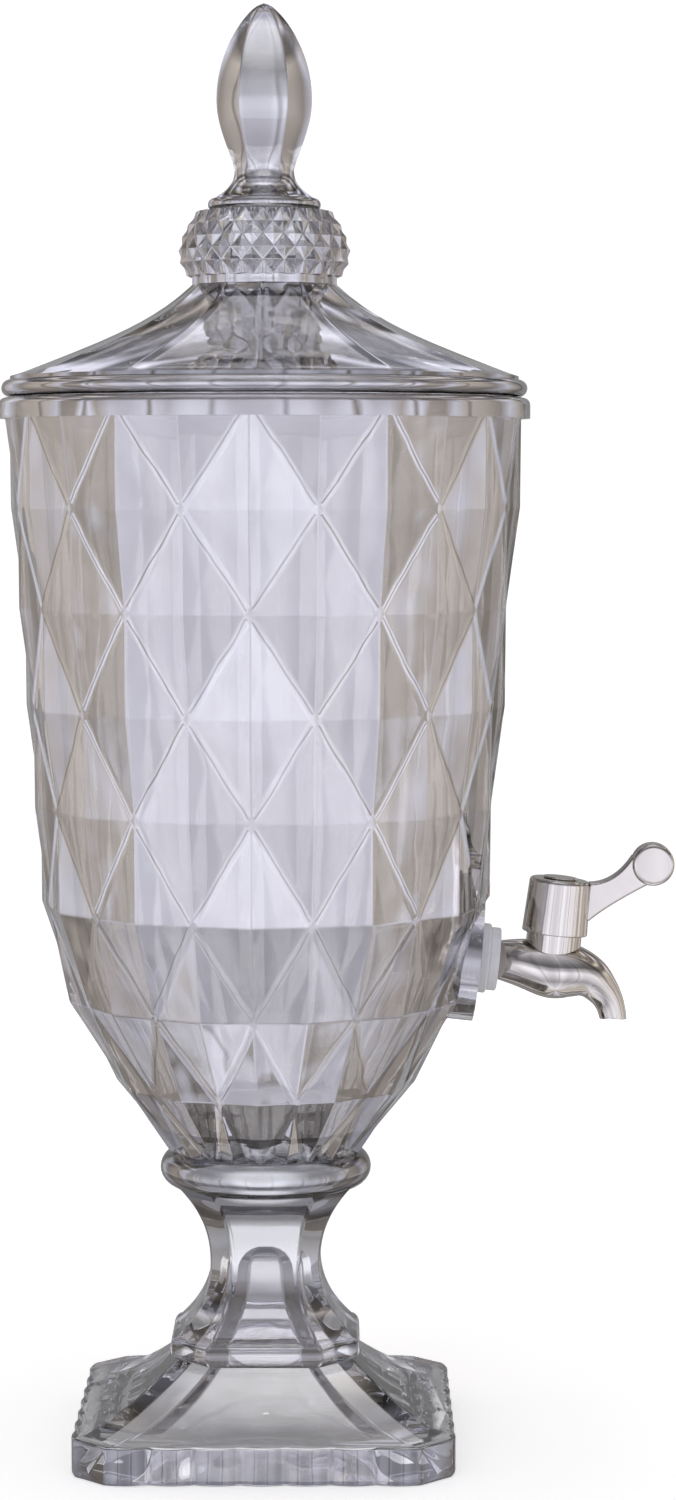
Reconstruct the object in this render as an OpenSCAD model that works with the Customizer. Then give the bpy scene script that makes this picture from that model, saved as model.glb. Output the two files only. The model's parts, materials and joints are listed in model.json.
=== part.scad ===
// Footed glass juice dispenser with a lift-off lid and a quarter-turn tap
// Millimetres, +Z up. The origin is at the middle of the base's underside, and the tap points along +X.

/* [Base] */
// Width of the square base
base_w = 129; // [110:1:150]
// Height of the base's upright edge
base_edge_h = 13; // [9:0.5:18]
// Leg of the chamfer at each corner of the base
base_corner = 11.7; // [8:0.1:16]
// Lobes along each side of the base
base_lobes = 7; // [5:1:9]
// Depth of the cusps between the lobes
lobe_depth = 1.4; // [0.6:0.1:2.2]
// Set-back of the slope from the base's edge
slope_inset = 3; // [2:0.5:6]
// Height of the concave slope above the edge
slope_h = 18.5; // [12:0.5:26]
// Width of the square hollow under the base
hollow_w = 108; // [90:1:110]
// Height of the hollow under the base
hollow_h = 70; // [50:1:72]
// Width of the hollow at its top
hollow_top_w = 19; // [14:1:20]

/* [Stem] */
// Width of the bead at the stem's foot
bead_w = 65; // [58:0.5:72]
// Height of the bead
bead_h = 8; // [6:0.5:12]
// Width of the stem at its neck
neck_w = 37.8; // [34:0.2:44]
// Height from the bead to the neck
stem_low_h = 24.5; // [18:0.5:30]
// Height from the neck to the collar
stem_up_h = 27.4; // [20:0.2:32]
// Width of the stem where it meets the collar
stem_top_w = 60; // [54:0.5:66]
// Diameter of the round collar under the bowl
collar_d = 72.8; // [71:0.2:80]
// Height of the collar
collar_h = 10.3; // [8:0.1:14]

/* [Bowl] */
// Diameter over the rim band
rim_d = 181; // [165:1:200]
// Height of the plain rim band
rim_band_h = 7; // [5:0.5:10]
// Diameter where the straight taper ends
shoulder_d = 154.6; // [146:0.2:160]
// Height of the shoulder above the bowl's foot
shoulder_rise = 85.6; // [75:0.2:95]
// Height of the bowl
bowl_h = 258; // [220:0.1:290]
// Diameter of the bowl's foot
bowl_foot_d = 68.8; // [62:0.2:70]
// Angle of the wall from upright at the foot, degrees
foot_flare = 39; // [34:1:44]
// Wall thickness under a facet's tip
wall = 6; // [5:0.1:8]
// Thickness of the bowl's floor
floor_t = 9.5; // [7:0.5:14]
// Diamonds round the bowl
diamond_columns = 12; // [8:2:16]
// Height of half a diamond, along the wall
row_pitch = 34; // [30:0.5:44]
// Turn of the diamonds from the side of the tap, degrees
diamond_turn = -2.2; // [-7:0.1:7]
// Depth of the crossings below the diamonds' tips
relief = 2.2; // [1:0.1:2.8]

/* [Lid] */
// Set-back of the lid's edge from the rim
lid_set = 1; // [0:0.1:3]
// Height of the lid's rolled edge
lid_edge_h = 5.8; // [4:0.2:8]
// Rise of the lid's slope from its edge to its neck
lid_rise = 32.2; // [26:0.1:40]
// Diameter of the lid's neck
lid_neck_d = 49.8; // [46:0.2:54]
// Height of the lid's neck
lid_neck_h = 3; // [2:0.5:6]
// Panels round the lid
lid_panels = 12; // [8:1:16]
// Glass thickness of the lid
lid_wall = 7; // [6:0.5:9]
// Depth of the lip inside the bowl
lip_h = 7.5; // [5:0.5:14]
// Thickness of the lip
lip_t = 4.5; // [3:0.5:6]
// Gap between the lip and the bowl
lip_clearance = 1.8; // [1:0.1:3]
// Largest diameter of the knurled collar
knurl_d = 58.8; // [55:0.2:64]
// Diameter of the knurled collar at its top
knurl_top_d = 46.8; // [42:0.2:50]
// Height of the knurled collar
knurl_h = 21.5; // [16:0.5:28]
// Points round the knurled collar
knurl_columns = 24; // [16:2:30]
// Depth of the knurling
knurl_depth = 1.3; // [0.6:0.1:1.8]

/* [Finial] */
// Diameter of the finial's round shoulder
finial_foot_d = 38.4; // [32:0.2:42]
// Height of the shoulder
finial_foot_h = 4.4; // [3:0.1:7]
// Diameter of the finial's neck
finial_neck_d = 20.2; // [16:0.2:24]
// Height from the shoulder to the neck
finial_flare_h = 9.5; // [8:0.5:14]
// Largest diameter of the bulb
bulb_d = 32.6; // [28:0.2:38]
// Height from the neck to the bulb's widest place
bulb_low_h = 23.8; // [20:0.2:32]
// Height from the widest place to the tip
bulb_up_h = 32.2; // [26:0.2:42]
// Panels round the bulb
bulb_panels = 6; // [5:1:8]

/* [Tap seat] */
// Height of the tap's hole above the bowl's foot
tap_rise = 66; // [60:0.5:80]
// Downward tilt of the tap, degrees
tap_tilt = 6; // [0:0.5:9]
// Diameter of the glass boss
boss_d = 44; // [36:0.5:50]
// Depth of the boss's face below the facets' tips
boss_set = 0; // [-1:0.1:2]
// Diameter of the hole through the glass
hole_d = 16; // [15:0.5:18]
// Diameter of the tap's shank
shank_d = 13; // [12:0.2:14]
// Diameter of the flat land inside the bowl
land_d = 27; // [25:0.5:30]
// Diameter of the two gaskets
gasket_d = 24; // [22:0.5:25]
// Thickness of the outer gasket
gasket_t = 3.5; // [2:0.1:5]
// Diameter of the outer washer
washer_d = 21.8; // [20:0.2:24]
// Thickness of the outer washer
washer_t = 3.4; // [2:0.1:5]
// Thickness of the inner gasket
inner_gasket_t = 3; // [2:0.1:4]
// Thickness of the inner washer
inner_washer_t = 1.5; // [1:0.1:3]
// Width of the nut across its flats
nut_af = 21; // [19:0.5:24]
// Thickness of the nut
nut_t = 7; // [5:0.5:9]
// Length of shank past the nut
shank_spare = 3; // [1:0.5:6]

/* [Tap] */
// Diameter of the barrel next to the washer
barrel_d = 13.4; // [13:0.1:15]
// Distance from the washer to the valve's axis
valve_x = 18.3; // [16:0.1:22]
// Diameter of the belly at the valve
belly_d = 20; // [19.4:0.1:23]
// Drop of the belly below the barrel's axis
belly_drop = 1.4; // [0.5:0.1:2.5]
// Reach of the spout past the valve's axis
spout_reach = 23.4; // [20:0.1:28]
// Drop of the spout's mouth below the barrel's axis
spout_drop = 15.9; // [13:0.1:20]
// Diameter of the spout at its mouth
spout_d = 9.3; // [8.6:0.1:11]
// Diameter of the spout's bore
spout_bore = 5.8; // [4:0.1:6]
// Diameter of the bore through the shank
inlet_bore = 6.8; // [5:0.1:7.4]
// Diameter of the neck under the handle
neck_d = 18.9; // [18.2:0.1:20]
// Height of the neck above the barrel's axis
neck_top = 18; // [16.5:0.1:20]
// Diameter of the valve's chamber
chamber_d = 13; // [12:0.1:13.6]
// Depth of the chamber below the barrel's axis
chamber_depth = 8.5; // [7:0.1:9]
// Running clearance of the plug in its chamber
plug_fit = 0.05; // [0.02:0.01:0.1]
// Clearance between parts that turn past each other
turn_gap = 0.3; // [0.2:0.05:0.5]
// Diameter of the plug's spindle
spindle_d = 9.6; // [8:0.1:10]
// Width of the spindle across its two flats
spindle_flats = 6.8; // [5.6:0.1:7.4]
// Height of the retaining ring
retainer_h = 3.5; // [2.5:0.1:4]
// Width of the retaining ring's seat in the neck
retainer_seat = 1.4; // [1:0.1:1.5]
// Thickness of the plug's O-rings
o_ring_t = 1.16; // [1:0.02:1.3]
// Quarter turn of the tap, degrees
tap_turn = 90; // [80:1:100]

/* [Handle] */
// Diameter of the handle at its skirt
handle_d = 22.5; // [22:0.1:25]
// Diameter of the handle at its top
handle_top_d = 21; // [20:0.1:22]
// Height of the skirt's lower edge above the barrel's axis
handle_z = 11.2; // [10.8:0.1:12]
// Height of the handle
handle_h = 18.9; // [17.5:0.1:22]
// Thickness of the lever
lever_t = 7; // [5:0.5:9]
// Distance of the lever's disc from the valve's axis
disc_x = 31; // [27:0.5:36]
// Height of the lever's disc above the handle's top
disc_rise = 8.4; // [6:0.2:12]
// Diameter of the lever's disc
disc_d = 14.6; // [12:0.2:18]
// Thickness of the lever's disc
disc_t = 9.5; // [8:0.5:12]
// Diameter of the cap on the handle
cap_d = 11.8; // [10.4:0.2:14]
// Height of the cap above the handle
cap_h = 0.8; // [0.5:0.1:1.5]
// Diameter of the screw
screw_d = 3; // [2.5:0.1:3.4]
// Diameter of the screw's head
screw_head_d = 6.4; // [5.6:0.1:7]

/* [Hidden] */

$fn = 72;

// Thin joints and loose fits
bond_t = 0.3;
lid_gap = 0.3;
thread_fit = 0.05;

// Heights, from the floor up
bead_z = base_edge_h + slope_h;
stem_z = bead_z + bead_h;
neck_z = stem_z + stem_low_h;
collar_z = neck_z + stem_up_h;
seat_z = collar_z + collar_h;
bowl_z = seat_z + bond_t;
rim_z = bowl_z + bowl_h;
band_z = rim_z - rim_band_h;
lid_z = rim_z + lid_gap;
slope_z = lid_z + lid_edge_h;
lid_neck_z = slope_z + lid_rise;
knurl_z = lid_neck_z + lid_neck_h;
knurl_top_z = knurl_z + knurl_h;
finial_z = knurl_top_z + bond_t;

// Outer envelope of the bowl: a straight taper, then one curve down to the foot
band_proud = 0.6;
rim_r = rim_d / 2 - band_proud;
shoulder_r = shoulder_d / 2;
foot_r = bowl_foot_d / 2;
shoulder_z = bowl_z + shoulder_rise;
taper = (rim_r - shoulder_r) / (rim_z - shoulder_z);
flare = tan(foot_flare);
knee_z = (shoulder_r - foot_r - taper * shoulder_z + flare * bowl_z) / (flare - taper);
knee_r = foot_r + flare * (knee_z - bowl_z);
wall_steps = 24;
function wall_curve(t) =
    pow(1 - t, 2) * [shoulder_r, shoulder_z] + 2 * t * (1 - t) * [knee_r, knee_z] + t * t * [foot_r, bowl_z];
wall_path = concat(
    [[rim_r, rim_z]],
    [for (i = [0:wall_steps]) wall_curve(i / wall_steps)],
    [[foot_r - flare * row_pitch / 2, bowl_z - row_pitch / 2]]
);
wall_arc = [for (i = 0, s = 0; i < len(wall_path);
    s = s + (i + 1 < len(wall_path) ? norm(wall_path[i + 1] - wall_path[i]) : 0), i = i + 1) s];
function wall_span(s) = max([for (i = [0:len(wall_path) - 2]) if (wall_arc[i] <= s) i]);
function wall_at(s) =
    let(i = wall_span(s), f = (s - wall_arc[i]) / (wall_arc[i + 1] - wall_arc[i]))
    wall_path[i] + f * (wall_path[i + 1] - wall_path[i]);
function wall_r(z) = lookup(z, [for (p = wall_path) [p.y, p.x]]);

// Inner wall of the bowl: the envelope set in by the wall's thickness
function wall_dir(i) =
    let(d = wall_path[i + 1] - wall_path[max(i - 1, 0)]) d / norm(d);
inner_path = [for (i = [0:wall_steps + 1]) wall_path[i] + wall * [wall_dir(i).y, -wall_dir(i).x]];
floor_z = bowl_z + floor_t;
function inner_r(z) = lookup(z, [for (p = inner_path) [p.y, p.x]]);

// Rows of diamonds, counted down from just under the rim
first_row = 3;
row_count = floor((wall_arc[len(wall_arc) - 1] - first_row) / row_pitch);
diamond_rows = concat(
    [for (j = [0:row_count]) wall_at(first_row + j * row_pitch)],
    [wall_path[len(wall_path) - 1]]
);

// Tap seat: the boss's face, the land inside the bowl and the stack of washers along the shank
tap_z = bowl_z + tap_rise;
face_x = wall_r(tap_z) - boss_set;
land_r = land_d / 2;
land_margin = 0.4;
function seat_depth(y, z) =
    let(x = sqrt(pow(inner_r(tap_z + z), 2) - y * y) - face_x) x * cos(tap_tilt) - z * sin(tap_tilt);
land_x = min([for (a = [0:15:345]) seat_depth(land_r * cos(a), land_r * sin(a))]) - land_margin;
washer_x = gasket_t;
barrel_x = washer_x + washer_t;
inner_washer_x = land_x - inner_gasket_t;
nut_x = inner_washer_x - inner_washer_t;
shank_end_x = nut_x - nut_t - shank_spare;
shank_r = shank_d / 2;
washer_clearance = 0.2;
washer_bore_r = shank_r + washer_clearance;

// Valve, in the tap's own frame: X along the barrel, Z along the valve's axis
axis_x = barrel_x + valve_x;
chamber_r = chamber_d / 2;
neck_r = neck_d / 2;
retainer_sink = 0.5;
retainer_z = neck_top - retainer_sink - retainer_h;
retainer_r = chamber_r + retainer_seat;
plug_r = chamber_r - plug_fit;
plug_low = turn_gap - chamber_depth;
plug_top = retainer_z - turn_gap;
port_z = -belly_drop;
spindle_r = spindle_d / 2;
skirt_gap = 0.5;
skirt_top = neck_top + skirt_gap;
spindle_drive = 6.5;
spindle_top = skirt_top + spindle_drive;
handle_top = handle_z + handle_h;
web_z = spindle_top + turn_gap;
web_t = 1.7;
head_z = web_z + web_t;
head_h = 2;
screw_clearance = 0.4;
screw_well_d = screw_head_d + 1.2;
o_ring_gap = 0.03;
groove_r = plug_r - o_ring_t - 2 * o_ring_gap;
groove_play = 0.5;
groove_w = o_ring_t + groove_play;
o_ring_inset = 2.8;
o_ring_pitch = 3.2;
o_ring_upper_z = plug_top - o_ring_inset;
o_ring_lower_z = o_ring_upper_z - o_ring_pitch;

// Stop: a rib inside the handle runs in a slot of the neck's rim
rib_angle = 125;
rib_span = 20;
rib_slack = 1.5;
rib_r = retainer_r + turn_gap;
slot_depth = 3;
slot_z = neck_top - slot_depth;

// Shared shapes

// Closed skin over a stack of equal rings, listed from the top down, each turning with the angle
module skin(rings, faces) {
    n = len(rings[0]);
    last = (len(rings) - 1) * n;
    polyhedron(
        points = [for (ring = rings) for (p = ring) p],
        faces = concat(faces, [[for (k = [n - 1:-1:0]) k]], [[for (k = [0:n - 1]) last + k]])
    );
}

function quad_faces(count, n) = [
    for (j = [0:count - 2]) for (k = [0:n - 1])
        let(a = j * n + k, b = j * n + (k + 1) % n)
        each [[a, b, b + n], [a, b + n, a + n]]
];

// Diamonds: crossings and tips take turns along each row, and every cell folds between two crossings
function diamond_ring(p, j, n, depth) = [
    for (k = [0:n - 1])
        let(r = p.x - ((j + k) % 2 == 0 ? depth : 0), a = 360 * k / n)
        [r * cos(a), r * sin(a), p.y]
];
function diamond_faces(count, n) = [
    for (j = [0:count - 2]) for (k = [0:n - 1])
        let(a = j * n + k, b = j * n + (k + 1) % n)
        each ((j + k) % 2 == 0 ? [[a, b, b + n], [a, b + n, a + n]] : [[a, b, a + n], [b, b + n, a + n]])
];
module diamond_skin(rows, columns, depth) {
    n = 2 * columns;
    skin([for (j = [0:len(rows) - 1]) diamond_ring(rows[j], j, n, depth)], diamond_faces(len(rows), n));
}

// Panels: each ring is a polygon of flat sides, rounded towards a circle by the share in its profile
function panel_r(a, panels, round_share) =
    let(h = 180 / panels, off = a - 2 * h * floor(a / (2 * h)) - h)
    round_share + (1 - round_share) * cos(h) / cos(off);
module panel_skin(profile, panels, steps) {
    n = panels * steps;
    rings = [for (p = profile) [for (k = [0:n - 1])
        let(a = 360 * k / n, r = p[0] * panel_r(a, panels, p[2])) [r * cos(a), r * sin(a), p[1]]]];
    skin(rings, quad_faces(len(rings), n));
}

// Ring with a round edge: radius r, from z0 to z1
module round_edge_disc(r, z0, z1) {
    edge = (z1 - z0) / 2;
    rotate_extrude() {
        translate([r - edge, z0 + edge]) circle(edge, $fn = 48);
        translate([0, z0]) square([r - edge, 2 * edge]);
    }
}

module tube(r_out, r_in, z0, z1) {
    difference() {
        translate([0, 0, z0]) cylinder(r = r_out, h = z1 - z0);
        translate([0, 0, z0 - 1]) cylinder(r = r_in, h = z1 - z0 + 2);
    }
}

// Frame of the tap: origin in the middle of the boss's face
module at_tap() {
    translate([face_x, 0, tap_z]) rotate([0, tap_tilt, 0]) children();
}

// Turns a shape made along Z so that it lies along the shank
module along_shank() {
    rotate([0, 90, 0]) children();
}

module at_valve() {
    at_tap() translate([axis_x, 0, 0]) children();
}

// Base, stem and collar

// Ring of the pedestal: a square of half-width w, whose faces keep a share of their width
function pedestal_ring(w, share, z) =
    let(c = w * share) [for (q = [0:3]) each [
        let(x = w, y = -c) [x * cos(90 * q) - y * sin(90 * q), x * sin(90 * q) + y * cos(90 * q), z],
        let(x = w, y = c) [x * cos(90 * q) - y * sin(90 * q), x * sin(90 * q) + y * cos(90 * q), z]
    ]];
stem_share = 0.6;
base_half = base_w / 2;
base_flat = base_half - base_corner;
base_share = base_flat / base_half;
slope_half = base_half - slope_inset;
bead_half = bead_w / 2;
bead_proud = 2.4;
slope_top_half = bead_half - bead_proud;
slope_power = 1.5;
stem_power = 2.15;
collar_sink = 2;
stem_rings = concat(
    [for (i = [0:10]) let(u = 1 - i / 10)
        [neck_w / 2 + (stem_top_w - neck_w) / 2 * pow(u, stem_power), stem_share, neck_z + stem_up_h * u]],
    [for (i = [1:9]) let(u = i / 9, foot = bead_half - bead_proud)
        [neck_w / 2 + (foot - neck_w / 2) * pow(u, stem_power), stem_share, neck_z - stem_low_h * u]],
    [for (i = [1:7]) let(a = 22.5 * i)
        [bead_half - bead_proud * (1 - sin(a)), stem_share, stem_z - bead_h / 2 * (1 - cos(a))]],
    [for (i = [0:10]) let(u = i / 10)
        [slope_top_half + (slope_half - slope_top_half) * u,
            stem_share + (base_share - stem_share) * u,
            base_edge_h + slope_h * pow(1 - u, slope_power)]],
    [[slope_half, base_share, base_edge_h / 2]]
);

// Inward set of the lobed edge at distance s from the middle of a side
lobe_pitch = 2 * base_flat / base_lobes;
function lobe_set(s) = lobe_depth * (1 - abs(sin(180 * (s + base_flat) / lobe_pitch)));
lobe_steps = 8;
base_outline = [for (q = [0:3]) for (i = [0:base_lobes * lobe_steps])
    let(s = -base_flat + i * lobe_pitch / lobe_steps, x = base_half - lobe_set(s))
    [x * cos(90 * q) - s * sin(90 * q), x * sin(90 * q) + s * cos(90 * q)]];

// Hollow under the base: it follows the square outside and ends in a domed top
hollow_power = 1.9;
hollow_top_half = hollow_top_w / 2;
hollow_bend_z = hollow_h - hollow_top_half;
hollow_rings = concat(
    [for (a = [75:-15:15]) [hollow_top_half * cos(a), stem_share, hollow_bend_z + hollow_top_half * sin(a)]],
    [for (i = [12:-1:0]) let(u = i / 12, v = pow(1 - u, hollow_power))
        [hollow_top_half + (hollow_w / 2 - hollow_top_half) * v,
            stem_share + (base_share - stem_share) * v,
            hollow_bend_z * u]],
    [[hollow_w / 2, base_share, -1]]
);

module pedestal() {
    color([0.72, 0.71, 0.74, 0.6]) difference() {
        union() {
            linear_extrude(base_edge_h) polygon(base_outline);
            skin([for (s = stem_rings) pedestal_ring(s[0], s[1], s[2])], quad_faces(len(stem_rings), 8));
            round_edge_disc(collar_d / 2, collar_z - collar_sink, seat_z);
        }
        skin([for (s = hollow_rings) pedestal_ring(s[0], s[1], s[2])], quad_faces(len(hollow_rings), 8));
    }
}

// The adhesive keeps back from the edge of the smaller of its two flats
bond_inset = 3;
bond_d = min(bowl_foot_d, collar_d - collar_h - collar_sink) - bond_inset;

module pedestal_bond() {
    color([0.9, 0.9, 0.9, 0.5])
        translate([0, 0, seat_z]) cylinder(d = bond_d, h = bond_t);
}

// Bowl
rim_round = 2.4;
mouth_over = 5;
floor_step = 1;
floor_round = 3;

module bowl_cavity() {
    low = [for (i = [len(inner_path) - 1:-1:0]) if (inner_path[i].y > floor_z + floor_step) inner_path[i]];
    top_r = low[len(low) - 1].x;
    floor_r = inner_r(floor_z + floor_step);
    rotate_extrude() polygon(concat(
        [[0, floor_z], [floor_r - floor_round, floor_z], [floor_r, floor_z + floor_step]],
        low,
        [[top_r, rim_z + mouth_over], [0, rim_z + mouth_over]]
    ));
}

module rim_band() {
    r = rim_d / 2;
    inset = r - 2 * wall;
    rotate_extrude() {
        translate([inset, band_z]) square([r - inset, rim_band_h - rim_round]);
        translate([inset, band_z]) square([r - inset - rim_round, rim_band_h]);
        translate([r - rim_round, rim_z - rim_round]) circle(rim_round, $fn = 48);
    }
}

module bowl() {
    color([0.80, 0.79, 0.83, 0.55]) difference() {
        union() {
            difference() {
                union() {
                    intersection() {
                        rotate(diamond_turn) diamond_skin(diamond_rows, diamond_columns, relief);
                        translate([0, 0, bowl_z]) cylinder(d = rim_d + 20, h = bowl_h);
                    }
                    rim_band();
                    at_tap() along_shank() translate([0, 0, land_x]) cylinder(d = boss_d, h = -land_x);
                }
                bowl_cavity();
                at_tap() along_shank() cylinder(d = boss_d, h = boss_d / 2);
            }
            at_tap() along_shank() translate([0, 0, land_x]) cylinder(d = land_d, h = -land_x / 2);
        }
        at_tap() along_shank() translate([0, 0, land_x - 1]) cylinder(d = hole_d, h = 2 - land_x);
    }
}

// Lid

// Slope of the lid: nearly straight, with a sweep up to the neck
lid_r = rim_d / 2 - lid_set;
lid_neck_r = lid_neck_d / 2;
lid_straight = 0.78;
lid_sweep = 5;
function lid_height(r) =
    let(u = (lid_r - r) / (lid_r - lid_neck_r))
    lid_rise * (lid_straight * u + (1 - lid_straight) * pow(u, lid_sweep));
lid_steps = 12;
panel_inset = 3;
panel_fade = 16;
lid_round = 0.15;
function lid_share(r) =
    lid_round + (1 - lid_round) * pow(max(r - lid_r + panel_inset + panel_fade, 0) / panel_fade, 2);
lip_r = inner_r(rim_z) - lip_clearance;
lip_in_r = lip_r - lip_t;
lid_profile = concat(
    [[lid_neck_r, knurl_z + 1, lid_round]],
    [for (i = [0:lid_steps]) let(r = lid_neck_r + (lid_r - panel_inset - lid_neck_r) * i / lid_steps)
        [r, slope_z + lid_height(r), lid_share(r)]],
    [[lid_r - panel_inset, lid_z + 1, 1]]
);

// Knurled collar, from the top down
knurl_r = knurl_d / 2;
knurl_rows = 5;
knurl_turn = 360 / knurl_columns / 8;
knurl_widest = 0.68;
knurl_low_r = lid_neck_r + knurl_depth + 0.3;
function knurl_at(u) =
    u < knurl_widest
        ? knurl_top_d / 2 + (knurl_r - knurl_top_d / 2) * sin(90 * u / knurl_widest)
        : knurl_low_r + (knurl_r - knurl_low_r) * cos(90 * (u - knurl_widest) / (1 - knurl_widest));
knurl_profile = concat(
    [for (j = [0:knurl_rows]) [knurl_at(j / knurl_rows), knurl_top_z - knurl_h * j / knurl_rows]],
    [[lid_neck_r - 2, knurl_z - 1]]
);

module lid_edge() {
    edge = lid_edge_h / 2;
    rotate_extrude() {
        translate([lid_r - edge, lid_z + edge]) circle(edge, $fn = 48);
        translate([0, lid_z]) square([lid_r - edge, lid_edge_h]);
        translate([0, lid_z - lip_h]) square([lip_r, lip_h + edge]);
    }
}

module lid() {
    color([0.66, 0.66, 0.69, 0.6]) difference() {
        union() {
            lid_edge();
            panel_skin(lid_profile, lid_panels, 4);
            rotate(knurl_turn) diamond_skin(knurl_profile, knurl_columns, knurl_depth);
        }
        rotate_extrude() polygon(concat(
            [[0, lid_z - lip_h - 1], [lip_in_r, lid_z - lip_h - 1]],
            [for (i = [0:lid_steps]) let(r = lip_in_r + (lid_neck_r - lip_in_r) * i / lid_steps)
                [r, slope_z + lid_height(r) - lid_wall]],
            [[0, lid_neck_z - lid_wall]]
        ));
    }
}

finial_bond_d = min(finial_foot_d - finial_foot_h, knurl_top_d - 2 * knurl_depth) - bond_inset;

module finial_bond() {
    color([0.9, 0.9, 0.9, 0.5])
        translate([0, 0, knurl_top_z]) cylinder(d = finial_bond_d, h = bond_t);
}

// Finial
finial_neck_z = finial_z + finial_foot_h + finial_flare_h;
bulb_z = finial_neck_z + bulb_low_h;
bulb_r = bulb_d / 2;
finial_neck_r = finial_neck_d / 2;
tip_share = 0.97;
tip_low_r = 3.2;
tip_r = 0.6;
tip_sink = 2;
bulb_round = 0.25;
bulb_up_power = 0.62;
bulb_low_power = 1.2;
finial_flare_power = 2.4;
neck_cover = 0.2;
bulb_profile = concat(
    [for (i = [10:-1:0]) let(v = tip_share * i / 10)
        [bulb_r * pow(cos(90 * v), bulb_up_power), bulb_z + bulb_up_h * v, bulb_round]],
    [for (i = [1:8]) let(u = 1 - i / 8)
        [finial_neck_r + (bulb_r - finial_neck_r) * pow(sin(90 * u), bulb_low_power),
            finial_neck_z + bulb_low_h * u, bulb_round]],
    [[finial_neck_r, finial_neck_z - 2, bulb_round]]
);

module finial() {
    shoulder = finial_foot_d / 2;
    flare_r = shoulder - finial_foot_h / 2;
    throat_r = finial_neck_r + neck_cover;
    color([0.66, 0.66, 0.69, 0.6]) union() {
        panel_skin(bulb_profile, bulb_panels, 4);
        round_edge_disc(shoulder, finial_z, finial_z + finial_foot_h);
        rotate_extrude() polygon(concat(
            [[0, finial_z + 1], [flare_r, finial_z + 1]],
            [for (i = [0:10]) let(u = i / 10)
                [throat_r + (flare_r - throat_r) * pow(1 - u, finial_flare_power),
                    finial_z + finial_foot_h - 0.5 + (finial_flare_h + 0.5) * u]],
            [[finial_neck_r * 0.9, finial_neck_z + 1], [0, finial_neck_z + 1]]
        ));
        translate([0, 0, bulb_z + bulb_up_h * tip_share - tip_sink])
            cylinder(r1 = tip_low_r, r2 = tip_r, h = bulb_up_h * (1 - tip_share) + tip_sink);
    }
}

// Washers and nut on the shank
module shank_ring(d, x, t) {
    at_tap() along_shank() tube(d / 2, washer_bore_r, x, x + t);
}

module outer_gasket() {
    color([0.93, 0.93, 0.92]) shank_ring(gasket_d, 0, gasket_t);
}

module outer_washer() {
    color([0.88, 0.88, 0.88]) shank_ring(washer_d, washer_x, washer_t);
}

module inner_gasket() {
    color([0.93, 0.93, 0.92]) shank_ring(gasket_d, inner_washer_x, inner_gasket_t);
}

module inner_washer() {
    color([0.85, 0.85, 0.86]) shank_ring(washer_d, nut_x, inner_washer_t);
}

// The nut's corners are turned down a little
nut_ease = 0.8;

module lock_nut() {
    color([0.9, 0.9, 0.9]) at_tap() along_shank() difference() {
        translate([0, 0, nut_x - nut_t]) intersection() {
            cylinder(d = nut_af / cos(30), h = nut_t, $fn = 6);
            cylinder(d = nut_af / cos(30) - nut_ease, h = nut_t);
        }
        translate([0, 0, nut_x - nut_t - 1]) cylinder(r = shank_r + thread_fit, h = nut_t + 2);
    }
}

// Tap body: one skin swept along the barrel, the belly and the spout

// Stations of the sweep: place along the barrel, height, radius
barrel_r = barrel_d / 2;
belly_r = belly_d / 2;
spout_r = spout_d / 2;
spout_x = axis_x + spout_reach;
tap_stations = [
    [barrel_x, 0, barrel_r],
    [barrel_x + valve_x * 0.45, -belly_drop * 0.2, barrel_r + (belly_r - barrel_r) * 0.5],
    [axis_x, -belly_drop, belly_r],
    [axis_x + spout_reach * 0.33, -belly_drop, belly_r - (belly_r - spout_r) * 0.17],
    [axis_x + spout_reach * 0.59, -spout_drop * 0.19, belly_r - (belly_r - spout_r) * 0.49],
    [axis_x + spout_reach * 0.79, -spout_drop * 0.43, belly_r - (belly_r - spout_r) * 0.78],
    [axis_x + spout_reach * 0.92, -spout_drop * 0.69, belly_r - (belly_r - spout_r) * 0.93],
    [spout_x, -spout_drop, spout_r]
];
sweep_sides = 28;
sweep_steps = 3;

// Smooth curve through the stations
function station(i) = tap_stations[min(max(i, 0), len(tap_stations) - 1)];
function smooth_at(i, t) =
    let(a = station(i - 1), b = station(i), c = station(i + 1), d = station(i + 2))
    0.5 * (2 * b + t * (c - a) + t * t * (2 * a - 5 * b + 4 * c - d) + t * t * t * (3 * b - a - 3 * c + d));
tap_line = concat(
    [for (i = [0:len(tap_stations) - 2]) for (k = [0:sweep_steps - 1]) smooth_at(i, k / sweep_steps)],
    [station(len(tap_stations) - 1)]
);
function sweep_dir(i) =
    i == 0 ? [1, 0] : i == len(tap_line) - 1 ? [0, -1]
    : let(d = tap_line[i + 1] - tap_line[i - 1]) [d[0], d[1]] / norm([d[0], d[1]]);
function sweep_ring(i) =
    let(p = tap_line[i], d = sweep_dir(i))
    [for (k = [0:sweep_sides - 1]) let(a = 360 * k / sweep_sides)
        [p[0] - d.y * p[2] * cos(a), p[2] * sin(a), p[1] + d.x * p[2] * cos(a)]];

// Way through the spout, as straight bores that meet in slightly wider knuckles
knuckle = 0.3;
spout_way = [
    [axis_x, port_z],
    [axis_x + spout_reach * 0.5, port_z - 1],
    [axis_x + spout_reach * 0.78, -spout_drop * 0.45],
    [axis_x + spout_reach * 0.94, -spout_drop * 0.75],
    [spout_x, -spout_drop - 1]
];
module spout_passage() {
    for (i = [0:len(spout_way) - 2]) {
        run = spout_way[i + 1] - spout_way[i];
        translate([spout_way[i].x, 0, spout_way[i].y]) rotate([0, atan2(run.x, run.y), 0]) {
            cylinder(d = spout_bore, h = norm(run));
            if (i > 0) sphere(d = spout_bore + knuckle);
        }
    }
}

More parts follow.
